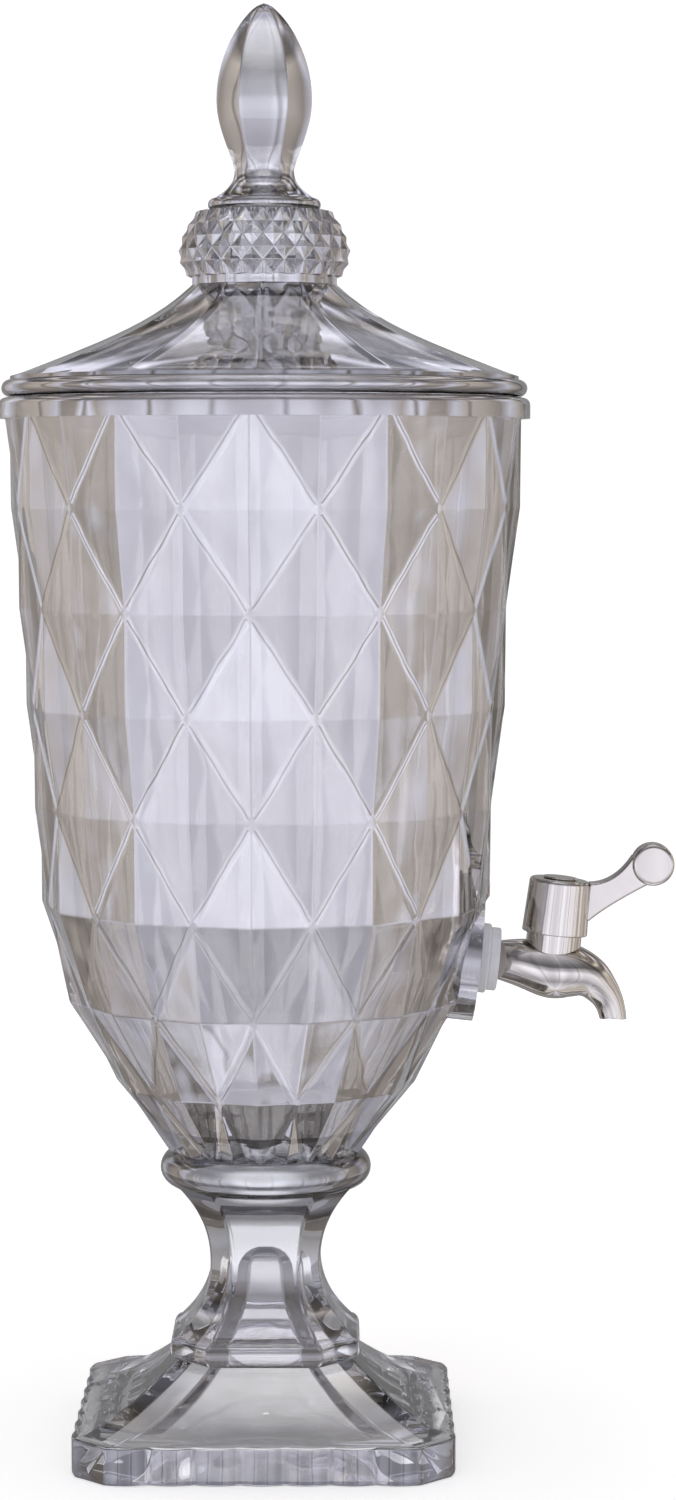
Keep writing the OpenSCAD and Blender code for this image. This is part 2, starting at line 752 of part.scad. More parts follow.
// Sector of a disc, for the stop's slot and rib
module sector(r, a0, a1, z0, z1) {
    translate([0, 0, z0]) linear_extrude(z1 - z0)
        polygon(concat([[0, 0]], [for (i = [0:8]) let(a = a0 + (a1 - a0) * i / 8) r * [cos(a), sin(a)]]));
}

module stop_slot() {
    intersection() {
        tube(neck_r + 1, retainer_r - 0.2, slot_z, neck_top + 1);
        sector(2 * neck_r, rib_angle - rib_slack, rib_angle + rib_span + tap_turn + rib_slack,
            slot_z - 1, neck_top + 2);
    }
}

module tap_body() {
    color([0.82, 0.81, 0.80]) at_tap() difference() {
        union() {
            skin([for (i = [0:len(tap_line) - 1]) sweep_ring(i)], quad_faces(len(tap_line), sweep_sides));
            along_shank() translate([0, 0, shank_end_x])
                cylinder(r = shank_r, h = barrel_x - shank_end_x + 2);
            translate([axis_x, 0, -belly_drop]) cylinder(r = neck_r, h = neck_top + belly_drop);
        }
        along_shank() translate([0, 0, shank_end_x - 1])
            cylinder(d = inlet_bore, h = axis_x - shank_end_x + 1);
        spout_passage();
        translate([axis_x, 0, 0]) {
            translate([0, 0, -chamber_depth]) cylinder(r = chamber_r, h = chamber_depth + neck_top + 1);
            translate([0, 0, retainer_z]) cylinder(r = retainer_r, h = neck_top);
            stop_slot();
        }
    }
}

// Valve parts
module plug_retainer() {
    color([0.78, 0.78, 0.78]) at_valve()
        tube(retainer_r - thread_fit, spindle_r + turn_gap, retainer_z, retainer_z + retainer_h);
}

module spindle_shape(r, flats, z0, z1) {
    translate([0, 0, z0]) intersection() {
        cylinder(r = r, h = z1 - z0);
        translate([-r - 1, -flats / 2, 0]) cube([2 * r + 2, flats, z1 - z0]);
    }
}

module valve_plug() {
    color([0.85, 0.85, 0.84]) at_valve() difference() {
        union() {
            translate([0, 0, plug_low]) cylinder(r = plug_r, h = plug_top - plug_low);
            translate([0, 0, plug_top - 1]) cylinder(r = spindle_r, h = skirt_top - plug_top + 1);
            spindle_shape(spindle_r, spindle_flats, skirt_top - 1, spindle_top);
        }
        translate([0, 0, port_z]) rotate([90, 0, 0]) cylinder(d = spout_bore, h = 3 * plug_r, center = true);
        for (z = [o_ring_upper_z, o_ring_lower_z])
            tube(plug_r + 1, groove_r, z - groove_w / 2, z + groove_w / 2);
        translate([0, 0, plug_top]) cylinder(d = screw_d + 2 * thread_fit, h = spindle_top);
    }
}

module o_ring(z) {
    color([0.12, 0.12, 0.12]) at_valve() translate([0, 0, z]) rotate_extrude()
        translate([groove_r + o_ring_gap + o_ring_t / 2, 0]) circle(d = o_ring_t, $fn = 32);
}

module plug_o_ring_upper() {
    o_ring(o_ring_upper_z);
}

module plug_o_ring_lower() {
    o_ring(o_ring_lower_z);
}

// Handle

// Lever outline in the plane of the barrel and the valve's axis, up to the middle of its disc
handle_r = handle_d / 2;
disc_z = handle_top + disc_rise;
disc_r = disc_d / 2;
lever_root_x = neck_r + turn_gap + 0.3;
lever_low = handle_z + handle_h * 0.3;
top_round = 1.4;
lever_outline = concat(
    [[lever_root_x, lever_low]],
    [for (i = [0:6]) let(t = i / 6)
        pow(1 - t, 2) * [handle_r, lever_low]
        + 2 * t * (1 - t) * [disc_x * 0.55, handle_z + handle_h * 0.62]
        + t * t * [disc_x - disc_r * 0.1, disc_z - disc_r * 0.95]],
    [[disc_x, disc_z]],
    [for (i = [0:6]) let(t = 1 - i / 6)
        pow(1 - t, 2) * [handle_top_d / 2 - 0.5, handle_top - 0.2]
        + 2 * t * (1 - t) * [disc_x * 0.6, handle_top + 0.6]
        + t * t * [disc_x - disc_r, disc_z + disc_r * 0.3]],
    [[lever_root_x, handle_top - top_round]]
);

module handle_shell() {
    rotate_extrude() {
        polygon([
            [0, handle_z], [handle_r, handle_z],
            [handle_top_d / 2, handle_top - top_round], [0, handle_top - top_round]
        ]);
        translate([0, handle_top - top_round]) square([handle_top_d / 2 - top_round, top_round]);
        translate([handle_top_d / 2 - top_round, handle_top - top_round]) circle(top_round, $fn = 48);
    }
}

module lever_disc() {
    edge = 1.6;
    rotate([90, 0, 0]) rotate_extrude() {
        translate([0, -disc_t / 2]) square([disc_r - edge, disc_t]);
        translate([0, edge - disc_t / 2]) square([disc_r, disc_t - 2 * edge]);
        for (z = [edge - disc_t / 2, disc_t / 2 - edge])
            translate([disc_r - edge, z]) circle(edge, $fn = 48);
    }
}

module handle() {
    color([0.83, 0.81, 0.80]) at_valve() union() {
        difference() {
            handle_shell();
            translate([0, 0, handle_z - 1]) cylinder(r = neck_r + turn_gap, h = skirt_top - handle_z + 1);
            spindle_shape(spindle_r + thread_fit, spindle_flats + 2 * thread_fit, skirt_top - 1, web_z);
            translate([0, 0, web_z - 1]) cylinder(d = screw_d + screw_clearance, h = web_t + 2);
            translate([0, 0, head_z]) cylinder(d = screw_well_d, h = handle_top);
        }
        intersection() {
            tube(neck_r + turn_gap + 0.5, rib_r, slot_z + turn_gap, skirt_top + 0.5);
            sector(2 * neck_r, rib_angle, rib_angle + rib_span, slot_z, skirt_top + 1);
        }
        translate([0, lever_t / 2, 0]) rotate([90, 0, 0]) linear_extrude(lever_t) polygon(lever_outline);
        translate([disc_x, 0, disc_z]) lever_disc();
    }
}

module handle_screw() {
    color([0.6, 0.6, 0.62]) at_valve() difference() {
        union() {
            translate([0, 0, head_z]) cylinder(d = screw_head_d, h = head_h);
            translate([0, 0, plug_top + 1.5]) cylinder(d = screw_d, h = head_z - plug_top - 1);
        }
        for (a = [0, 90]) rotate(a)
            translate([-screw_head_d * 0.3, -0.4, head_z + head_h / 2])
                cube([screw_head_d * 0.6, 0.8, head_h]);
    }
}

module handle_cap() {
    stem_r = screw_well_d / 2 - thread_fit;
    color([0.84, 0.83, 0.82]) at_valve() union() {
        round_edge_disc(cap_d / 2, handle_top, handle_top + cap_h);
        translate([0, 0, head_z + head_h + 0.2]) cylinder(r = stem_r, h = handle_top - head_z - head_h + 0.2);
    }
}

pedestal();
pedestal_bond();
bowl();
lid();
finial_bond();
finial();
outer_gasket();
outer_washer();
inner_gasket();
inner_washer();
lock_nut();
tap_body();
plug_retainer();
valve_plug();
plug_o_ring_upper();
plug_o_ring_lower();
handle();
handle_screw();
handle_cap();
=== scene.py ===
"""Looks of a footed glass juice dispenser: faceted bowl, panelled lid and foot, silver tap."""

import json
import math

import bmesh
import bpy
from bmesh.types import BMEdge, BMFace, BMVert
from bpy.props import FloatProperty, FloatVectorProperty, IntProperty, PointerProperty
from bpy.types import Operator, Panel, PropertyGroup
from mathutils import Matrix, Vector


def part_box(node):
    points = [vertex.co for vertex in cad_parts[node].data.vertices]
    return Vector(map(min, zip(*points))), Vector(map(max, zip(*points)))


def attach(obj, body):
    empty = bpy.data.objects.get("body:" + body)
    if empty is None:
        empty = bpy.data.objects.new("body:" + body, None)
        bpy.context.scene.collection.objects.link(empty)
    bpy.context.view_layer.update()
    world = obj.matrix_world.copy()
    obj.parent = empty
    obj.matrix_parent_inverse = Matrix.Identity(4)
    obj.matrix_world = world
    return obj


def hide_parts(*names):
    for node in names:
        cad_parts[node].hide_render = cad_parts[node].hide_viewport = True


bl_info = {
    "name": "Glass juice dispenser",
    "version": (1, 0, 0),
    "blender": (4, 5, 0),
    "location": "3D View > Sidebar > Dispenser",
    "description": "Builds the glass, the tap and the studio of a footed juice dispenser",
    "category": "Object",
}

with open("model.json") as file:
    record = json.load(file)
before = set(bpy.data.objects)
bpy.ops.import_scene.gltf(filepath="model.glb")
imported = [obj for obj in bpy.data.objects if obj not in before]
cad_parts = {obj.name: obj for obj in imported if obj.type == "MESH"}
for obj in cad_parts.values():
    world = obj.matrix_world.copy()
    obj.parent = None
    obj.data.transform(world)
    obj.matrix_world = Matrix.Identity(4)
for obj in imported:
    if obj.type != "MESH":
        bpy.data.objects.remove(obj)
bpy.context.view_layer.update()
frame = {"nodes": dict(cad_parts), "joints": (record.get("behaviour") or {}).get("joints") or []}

MM = 0.001
WELD = 1e-7
X_AXIS = Vector((1, 0, 0))
Z_AXIS = Vector((0, 0, 1))
ROUND_STEPS = 96
TUBE_STEPS = 48

# Places that the frame gives
BOWL_LOW, BOWL_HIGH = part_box("bowl")
LID_LOW, LID_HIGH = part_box("lid")
FINIAL_LOW, FINIAL_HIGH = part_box("finial")
BASE_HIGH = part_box("pedestal")[1]
TURN = next(j for j in frame["joints"] if j["name"] == "tap_turn")
VALVE = Vector(TURN["pos_m"])
VALVE_UP = Vector(TURN["axis"]).normalized()
VALVE_OUT = Vector((VALVE_UP.z, 0, -VALVE_UP.x))
TAP_AXES = Matrix((VALVE_OUT, VALVE_UP.cross(VALVE_OUT), VALVE_UP)).transposed()
TAP_FRAME = Matrix.Translation(VALVE) @ TAP_AXES.to_4x4()
TO_SHANK = Matrix.Rotation(math.pi / 2, 4, "Y")

# Powers and shares that give the curves their run
LID_EVEN_RISE = 0.78
LID_SWEEP = 5
RIDGE_END = 0.8
COLLAR_WIDEST = 0.68
FLARE_POWER = 2.4
LOWER_BULB_POWER = 1.2
UPPER_BULB_POWER = 0.62
TIP_SPACING = 1.6
STEM_KEEP = 0.6
STEM_POWER = 2.15
SLOPE_POWER = 1.5
HOLLOW_POWER = 1.9

# Least angles of an edge that is rounded, in radians
CREASE_ANGLE = 0.03
RIDGE_ANGLE = 0.2
RIM_ANGLE = 1.2

# Small roundings
FLOOR_TURN = 3 * MM
RIM_LIP = 1 * MM
LIP_ROUND = 1.2 * MM
KNURL_VALLEY = 0.3 * MM
KNURL_CREASE = 0.12 * MM
SLAB_ROUND = 0.9 * MM
HOLLOW_ROUND = 3 * MM
TURNED_EDGE = 0.5 * MM
MOUTH_ROUND = 0.35 * MM
HANDLE_ROUND = 1.4 * MM
LEVER_ROUND = 1.2 * MM
DISC_ROUND = 1.6 * MM
CAP_ROUND = 0.4 * MM
NUT_CORNER = 0.9 * MM

# Small gaps and margins
TOOL_MARGIN = 0.2 * MM
SKIRT_GAP = 0.3 * MM
ROOF_GAP = 0.5 * MM
RING_GAP = 0.2 * MM
NUT_GAP = 0.05 * MM
BORE_STEP = (-0.5 * MM, 0, 4 * MM)

GLASS_IOR = 1.5
WHITE = (1, 1, 1, 1)

# Surroundings: degrees from the front, tone, strength
STRIPS = (
    (0, "front", 0.95),
    (8, "front", 1.00),
    (12.8, "front", 1.28),
    (15, "front", 0.58),
    (17.2, "front", 1.28),
    (24, "front", 1.34),
    (34, "front", 0.92),
    (42.8, "front", 1.28),
    (45, "sides", 0.70),
    (47.2, "front", 1.28),
    (54, "front", 1.00),
    (62, "front", 1.15),
    (69, "sides", 1.25),
    (72.8, "front", 1.35),
    (75, "sides", 0.62),
    (77.2, "front", 1.35),
    (81, "sides", 1.05),
    (89, "sides", 0.85),
    (94, "front", 1.05),
    (102.8, "sides", 1.40),
    (105, "sides", 0.62),
    (107.2, "sides", 1.40),
    (116, "sides", 1.20),
    (128, "sides", 0.75),
    (138, "front", 0.85),
    (150, "sides", 0.90),
    (160, "sides", 0.25),
    (166, "front", 0.90),
    (172, "sides", 0.35),
    (176, "front", 0.95),
    (180, "front", 0.75),
)

# Strength of the surroundings by the sine of the elevation, in front and behind
FRONT_RISE = (
    (-1.00, 1.00),
    (-0.88, 0.75),
    (-0.72, 0.45),
    (-0.55, 0.62),
    (-0.40, 0.84),
    (-0.26, 0.94),
    (-0.14, 1.06),
    (-0.02, 1.02),
    (0.05, 0.90),
    (0.12, 0.66),
    (0.28, 0.46),
    (0.42, 0.15),
    (0.60, 0.22),
    (0.80, 0.38),
    (0.94, 0.60),
    (1.00, 0.90),
)
BACK_RISE = (
    (-1.00, 1.20),
    (-0.70, 0.45),
    (-0.30, 0.70),
    (-0.10, 1.00),
    (0.20, 0.90),
    (0.33, 1.20),
    (0.42, 0.30),
    (0.52, 0.40),
    (0.57, 1.50),
    (0.62, 0.30),
    (0.68, 0.40),
    (0.74, 1.60),
    (0.82, 0.25),
    (0.93, 0.50),
    (1.00, 1.40),
)
BACK_START = 0.1

# Glow of the floor and the backdrop, near and far: for the camera, through glass, in mirrors
RAYS = ("Is Camera Ray", "Is Transmission Ray", "Is Glossy Ray")
FLOOR_GLOW = ((0.50, 0.95), (1.0, 0.35), (0.2, 0.1))
BACK_GLOW = ((1.0, 1.0), (1.0, 0.03), (0.15, 0.28))
PLANE_HALF = 3
BACK_PLACE = (0, 1.1, -2.25)


def length(name, description, millimetres):
    """A length that a user may change, in metres."""
    return FloatProperty(
        name=name, description=description, default=millimetres * MM, precision=5, unit="LENGTH"
    )


def share(name, description, value):
    """A number from 0 to 1."""
    return FloatProperty(
        name=name, description=description, default=value, min=0, max=1, subtype="FACTOR"
    )


def level(name, description, value):
    """A number of 0 or more."""
    return FloatProperty(name=name, description=description, default=value, min=0)


def rotation(name, description, degrees):
    """An angle that a user may change."""
    return FloatProperty(
        name=name, description=description, default=math.radians(degrees), unit="ROTATION"
    )


def number(name, description, value, least):
    """A whole number with a lower limit."""
    return IntProperty(name=name, description=description, default=value, min=least)


def tint(name, description, value):
    """A linear colour."""
    return FloatVectorProperty(
        name=name, description=description, default=value, size=3, min=0, max=1, subtype="COLOR"
    )


# Settings


class GlassSettings(PropertyGroup):
    """Finish of the pressed glass"""

    colour: tint("Glass colour", "Smoke tint of the pressed glass", (0.94, 0.935, 0.955))
    warm: tint("Warm tint", "Taupe cast of the press marks", (0.90, 0.88, 0.87))
    smoke: tint("Smoke", "Tint that thick glass takes on", (0.32, 0.37, 0.50))
    density: level("Smoke density", "Absorption for each metre of glass", 8)
    lustre: share("Lustre", "Share of the bowl and the lid that mirrors like metal", 0.36)
    foot_lustre: share("Foot lustre", "Share of the foot that mirrors like metal", 0.15)
    roughness: share("Roughness", "Roughness of the fire-polished surface", 0.006)
    ripple: share("Ripple", "Strength of the press marks", 1)


class BowlSettings(PropertyGroup):
    """Sizes of the bowl"""

    shoulder_radius: length("Shoulder radius", "Radius where the straight taper ends", 77.3)
    shoulder_rise: length("Shoulder rise", "Height of the shoulder above the foot", 85.6)
    foot_radius: length("Foot radius", "Radius of the bowl's foot", 34.4)
    foot_flare: rotation("Foot flare", "Angle of the wall at the foot", 39)
    wall: length("Wall", "Glass under a diamond's tip", 6)
    floor: length("Floor", "Thickness of the floor", 9.5)
    band_height: length("Rim band", "Height of the plain band at the rim", 7)
    band_proud: length("Band step", "How far the band stands proud of the diamonds", 0.6)
    rim_round: length("Rim rounding", "Rounding of the rim's outer edge", 2.4)
    columns: number("Diamonds", "Diamonds round the bowl", 12, 6)
    row_pitch: length("Row pitch", "Height of half a diamond along the wall", 34)
    first_row: length("First row", "Start of the first row below the rim", 3)
    diamond_turn: rotation("Diamond turn", "Turn of the diamonds from the tap", -2.2)
    relief: length("Relief", "Depth of the crossings below the tips", 2.2)
    valley: length("Valley", "Half-width of the rounded valley between diamonds", 1.9)
    crease: length("Crease", "Half-width of the rounding on a diamond's creases", 0.5)


class LidSettings(PropertyGroup):
    """Sizes of the lid"""

    edge_height: length("Edge", "Height of the rolled edge", 5.8)
    rise: length("Rise", "Rise of the slope from the edge to the neck", 32.2)
    neck_radius: length("Neck radius", "Radius of the neck under the collar", 24.9)
    wall: length("Wall", "Glass thickness of the slope", 7)
    lip_depth: length("Lip depth", "Depth of the lip in the bowl", 7.5)
    lip_wall: length("Lip wall", "Thickness of the lip", 4.5)
    lip_radius: length("Lip radius", "Outer radius of the lip", 82.08)
    panels: number("Panels", "Panels round the slope", 12, 6)
    panel_inset: length("Panel inset", "Set-back of the panels from the edge", 3)
    panel_fade: length("Panel fade", "Length in which the panels fade into the edge", 16)
    panel_round: share("Panel rounding", "Share by which the panels are rounded", 0.15)
    panel_hollow: share("Panel hollow", "Share of the radius that a panel's middle is hollowed by", 0.03)
    ridge: length("Ridge", "Half-width of the rounding between panels", 0.9)
    knurl_radius: length("Collar radius", "Largest radius of the knurled collar", 29.4)
    knurl_top: length("Collar top", "Radius at the collar's top", 23.4)
    knurl_height: length("Collar height", "Height of the knurled collar", 21.5)
    knurl_columns: number("Points", "Points round the collar", 24, 8)
    knurl_rows: number("Point rows", "Rows of points on the collar", 5, 3)
    knurl_depth: length("Collar depth", "Depth of the knurling", 1.3)


class FinialSettings(PropertyGroup):
    """Sizes of the finial"""

    foot_radius: length("Foot radius", "Radius of the round shoulder", 19.2)
    foot_height: length("Foot height", "Height of the shoulder", 4.4)
    neck_radius: length("Neck radius", "Radius of the neck", 10.1)
    flare_height: length("Flare height", "Height from the shoulder to the neck", 9.5)
    bulb_radius: length("Bulb radius", "Largest radius of the bulb", 16.3)
    bulb_low: length("Lower bulb", "Height from the neck to the widest place", 23.8)
    bulb_up: length("Upper bulb", "Height from the widest place to the tip", 32.2)
    panels: number("Panels", "Panels round the bulb", 6, 4)
    panel_round: share("Panel rounding", "Share by which the panels are rounded", 0.25)
    ridge: length("Ridge", "Half-width of the rounding between panels", 0.7)


class PedestalSettings(PropertyGroup):
    """Sizes of the foot"""

    edge_height: length("Edge", "Height of the base's upright edge", 13)
    corner: length("Corner", "Leg of the chamfer at each corner", 11.7)
    lobes: number("Lobes", "Lobes along each side", 7, 3)
    lobe_depth: length("Lobe depth", "Depth of the cusps between lobes", 1.4)
    slope_inset: length("Slope inset", "Set-back of the slope from the edge", 3)
    slope_height: length("Slope height", "Height of the concave slope", 18.5)
    bead_half: length("Bead", "Half-width of the bead at the stem's foot", 32.5)
    bead_height: length("Bead height", "Height of the bead", 8)
    bead_proud: length("Bead step", "How far the bead stands proud of the stem", 2.4)
    neck_half: length("Neck", "Half-width of the stem at its neck", 18.9)
    stem_low: length("Lower stem", "Height from the bead to the neck", 24.5)
    stem_up: length("Upper stem", "Height from the neck to the collar", 27.4)
    top_half: length("Stem top", "Half-width of the stem at the collar", 30)
    collar_radius: length("Collar radius", "Radius of the round collar", 36.4)
    collar_height: length("Collar height", "Height of the collar with the part in the stem", 12.3)
    hollow_half: length("Hollow", "Half-width of the square hollow under the base", 54)
    hollow_top: length("Hollow top", "Half-width of the hollow at its top", 9.5)
    hollow_height: length("Hollow height", "Height of the hollow", 70)
    ridge: length("Ridge", "Half-width of the rounding along the stem's edges", 1.1)


class TapSettings(PropertyGroup):
    """Sizes of the tap, from the valve's axis"""

    face: length("Boss face", "Distance from the boss's face to the valve", 25.2)
    boss_radius: length("Boss radius", "Radius of the glass boss", 22)
    hole_radius: length("Hole radius", "Radius of the hole through the glass", 8)
    land_radius: length("Land radius", "Radius of the flat land inside the bowl", 13.5)
    land_depth: length("Land depth", "Distance from the boss's face to the land", 10.68)
    shank_radius: length("Shank radius", "Radius of the threaded shank", 6.5)
    shank_end: length("Shank end", "Distance from the boss's face to the shank's end", 25.18)
    thread_pitch: length("Thread pitch", "Pitch of the shank's thread", 1.5)
    thread_depth: length("Thread depth", "Depth of the shank's thread", 0.5)
    barrel: length("Barrel", "Distance from the valve to the barrel's end", 18.3)
    barrel_radius: length("Barrel radius", "Radius of the barrel", 6.7)
    belly_radius: length("Belly radius", "Radius of the belly at the valve", 10)
    belly_half: length("Belly half-width", "Half-width of the belly from front to back", 12.2)
    belly_drop: length("Belly drop", "Drop of the belly below the barrel", 1.4)
    spout_reach: length("Spout reach", "Reach of the spout past the valve", 23.4)
    spout_drop: length("Spout drop", "Drop of the spout's mouth", 15.9)
    spout_radius: length("Spout radius", "Radius of the spout at its mouth", 4.65)
    spout_bore: length("Spout bore", "Radius of the spout's bore", 2.9)
    neck_radius: length("Neck radius", "Radius of the neck under the handle", 9.45)
    neck_top: length("Neck top", "Height of the neck", 18)
    handle_low: length("Skirt", "Height of the handle's lower edge", 11.2)
    handle_height: length("Handle height", "Height of the handle", 18.9)
    handle_radius: length("Handle radius", "Radius of the handle's skirt", 11.25)
    handle_top_radius: length("Handle top", "Radius of the handle's top", 10.5)
    lever_thickness: length("Lever", "Thickness of the lever", 7)
    disc_reach: length("Disc reach", "Distance of the lever's disc from the valve", 31)
    disc_rise: length("Disc rise", "Height of the disc above the handle's top", 8.4)
    disc_radius: length("Disc radius", "Radius of the lever's disc", 7.3)
    disc_thickness: length("Disc thickness", "Thickness of the lever's disc", 9.5)
    cap_radius: length("Cap radius", "Radius of the cap on the handle", 5.9)
    gasket_radius: length("Gasket radius", "Radius of the silicone gaskets", 12)
    washer_radius: length("Washer radius", "Radius of the plastic washers", 10.9)
    nut_across: length("Nut", "Width of the nut across its flats", 21)
    silver: tint("Silver", "Colour of the plating", (0.57, 0.54, 0.485))
    silver_roughness: share("Silver roughness", "Roughness of the plating", 0.07)


class StageSettings(PropertyGroup):
    """Camera, floor and light"""

    distance: length("Camera distance", "Distance of the camera from the bowl's axis", 1250)
    height: length("Camera height", "Height of the camera", 335)
    offset: length("Camera offset", "Sideways place of the camera", 25)
    aim: length("Aim height", "Height that the middle of the picture shows", 239.7)
    lens: level("Lens", "Focal length in millimetres", 87.6)
    floor_colour: tint("Floor", "Colour of the floor", (0.86, 0.86, 0.82))
    floor_mirror: length("Floor in mirrors", "Distance up to which mirrors show the floor", 1)
    back_colour: tint("Backdrop", "Colour of the backdrop without its own light", (0.1, 0.1, 0.1))
    back_mirror: length("Backdrop in mirrors", "Distance up to which mirrors show the backdrop", 600)
    front: tint("Front", "Colour of the surroundings in front", (0.85, 0.855, 1.0))
    sides: tint("Sides", "Colour of the surroundings at the sides", (0.50, 0.45, 0.41))
    outline: tint("Outline", "Colour of the surroundings seen through the glass", (0.09, 0.082, 0.076))
    world_turn: rotation("Surroundings turn", "Turn of the strips round the bowl", 5.5)
    world: level("Surroundings", "Brightness of the surroundings", 1.45)
    key: level("Key light", "Radiance of the large front light", 1.2)
    top: level("Top light", "Radiance of the overhead light", 1.0)


class DispenserSettings(PropertyGroup):
    """All settings of the dispenser"""

    glass: PointerProperty(type=GlassSettings)
    bowl: PointerProperty(type=BowlSettings)
    lid: PointerProperty(type=LidSettings)
    finial: PointerProperty(type=FinialSettings)
    pedestal: PointerProperty(type=PedestalSettings)
    tap: PointerProperty(type=TapSettings)
    stage: PointerProperty(type=StageSettings)


# Mesh helpers


def revolve(bm, profile, steps=ROUND_STEPS):
    """Spins a profile of (radius, height) points about the Z axis."""
    verts = [bm.verts.new((r, 0, z)) for r, z in profile]
    edges = [bm.edges.new(pair) for pair in zip(verts, verts[1:])]
    bmesh.ops.spin(
        bm, geom=verts + edges, cent=(0, 0, 0), axis=Z_AXIS, angle=math.tau, steps=steps, use_merge=True
    )
    bmesh.ops.remove_doubles(bm, verts=bm.verts, dist=WELD)


def between(a, b, share_of_way):
    """Value at a share of the way from a to b."""
    return a + (b - a) * share_of_way


def even(steps):
    """Even steps from 0 to 1."""
    return [i / steps for i in range(steps + 1)]


def stations(start, end, steps):
    """Evenly spaced values from start to end."""
    return [start + (end - start) * i / steps for i in range(steps + 1)]


def arc(centre, radius, start, end, steps):
    """Points of an arc in the plane of radius and height, angles in degrees."""
    turns = [math.radians(a) for a in stations(start, end, steps)]
    return [(centre[0] + radius * math.cos(a), centre[1] + radius * math.sin(a)) for a in turns]


def bezier(a, b, c, steps):
    """Points of a quadratic curve."""
    a, b, c = Vector(a), Vector(b), Vector(c)
    return [(1 - t) ** 2 * a + 2 * t * (1 - t) * b + t * t * c for t in even(steps)]


def soften(bm, edges, width, segments):
    """Rounds the given edges."""
    bmesh.ops.bevel(
        bm,
        geom=edges,
        offset=width,
        offset_type="OFFSET",
        segments=segments,
        profile=0.5,
        affect="EDGES",
        clamp_overlap=True,
        loop_slide=True,
        material=-1,
    )


def trim(bm, height, up):
    """Cuts away all that lies above the height, or below it."""
    bmesh.ops.bisect_plane(
        bm,
        geom=bm.verts[:] + bm.edges[:] + bm.faces[:],
        dist=WELD,
        plane_co=(0, 0, height),
        plane_no=Z_AXIS if up else -Z_AXIS,
        clear_outer=True,
    )


def open_edges(bm, height):
    """The open edges that lie at one height."""
    near = 10 * WELD
    return [e for e in bm.edges if e.is_boundary and all(abs(v.co.z - height) < near for v in e.verts)]


def edges_among(bm, verts):
    """The edges whose two ends are both in a set."""
    return [e for e in bm.edges if verts.issuperset(e.verts)]


def is_level(edge):
    """Whether both ends of an edge lie at one height."""
    return abs(edge.verts[0].co.z - edge.verts[1].co.z) < WELD


def of_kind(geometry, kind):
    """The parts of one kind in what an operator made."""
    return [g for g in geometry if isinstance(g, kind)]


def new_object(bm, name, matrix=None):
    """Turns a finished bmesh into an object at the origin."""
    bmesh.ops.remove_doubles(bm, verts=bm.verts, dist=WELD)
    bmesh.ops.recalc_face_normals(bm, faces=bm.faces)
    if matrix is not None:
        bm.transform(matrix)
    mesh = bpy.data.meshes.new(name)
    bm.to_mesh(mesh)
    bm.free()
    obj = bpy.data.objects.new(name, mesh)
    bpy.context.scene.collection.objects.link(obj)
    return obj


def combine(obj, tool, operation):
    """Joins a tool object to obj, or cuts it away, and removes the tool."""
    modifier = obj.modifiers.new("Combine", "BOOLEAN")
    modifier.operation = operation
    modifier.solver = "EXACT"
    modifier.object = tool
    graph = bpy.context.evaluated_depsgraph_get()
    mesh = bpy.data.meshes.new_from_object(obj.evaluated_get(graph))
    if not mesh.polygons:
        raise RuntimeError(f"{obj.name}: {operation} left nothing")
    obj.modifiers.clear()
    old = obj.data
    obj.data = mesh
    mesh.name = obj.name
    bpy.data.meshes.remove(old)
    bpy.data.objects.remove(tool)


def lathe(name, profile, matrix=None, steps=ROUND_STEPS):
    """An object spun from a profile of (radius, height) points."""
    bm = bmesh.new()
    revolve(bm, profile, steps)
    return new_object(bm, name, matrix)


def prism(outline, rise):
    """Mesh of a flat outline drawn out along a vector."""
    bm = bmesh.new()
    face = bm.faces.new([bm.verts.new(p) for p in outline])
    made = bmesh.ops.extrude_face_region(bm, geom=[face])["geom"]
    bmesh.ops.translate(bm, verts=of_kind(made, BMVert), vec=rise)
    return bm


def smooth(obj, angle=32):
    """Shades a piece smoothly, with its sharp edges kept and its flat faces flat."""
    for polygon in obj.data.polygons:
        polygon.use_smooth = True
    obj.data.set_sharp_from_angle(angle=math.radians(angle))
    modifier = obj.modifiers.new("Flat faces", "WEIGHTED_NORMAL")
    modifier.weight = 100
    modifier.keep_sharp = True
    return obj


def finish(obj, material):
    """Gives a piece one material in place of those that it has."""
    obj.data.materials.clear()
    obj.data.materials.append(material)


def place(obj, body, slot, material, *nodes):
    """Gives a finished piece its material and its body, and hides the nodes that it stands for."""
    finish(obj, material)
    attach(obj, body)
    if nodes:
        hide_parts(*nodes)


def panel_share(angle, panels, rounding):
    """Radius share of a ring of flat panels, rounded towards a circle."""
    half = math.pi / panels
    off = angle % (2 * half) - half
    return rounding + (1 - rounding) * math.cos(half) / math.cos(off)


def on_ridge(angle, panels):
    """Whether an angle is that of a ridge between two panels."""
    turn = angle / (math.tau / panels)
    return abs(turn - round(turn)) < 0.01


def polar(vert):
    """Radius and angle of a vertex about the Z axis."""
    return math.hypot(vert.co.x, vert.co.y), math.atan2(vert.co.y, vert.co.x)


def set_radius(vert, radius):
    """Moves a vertex along its ray from the Z axis."""
    now = math.hypot(vert.co.x, vert.co.y)
    vert.co.x *= radius / now
    vert.co.y *= radius / now


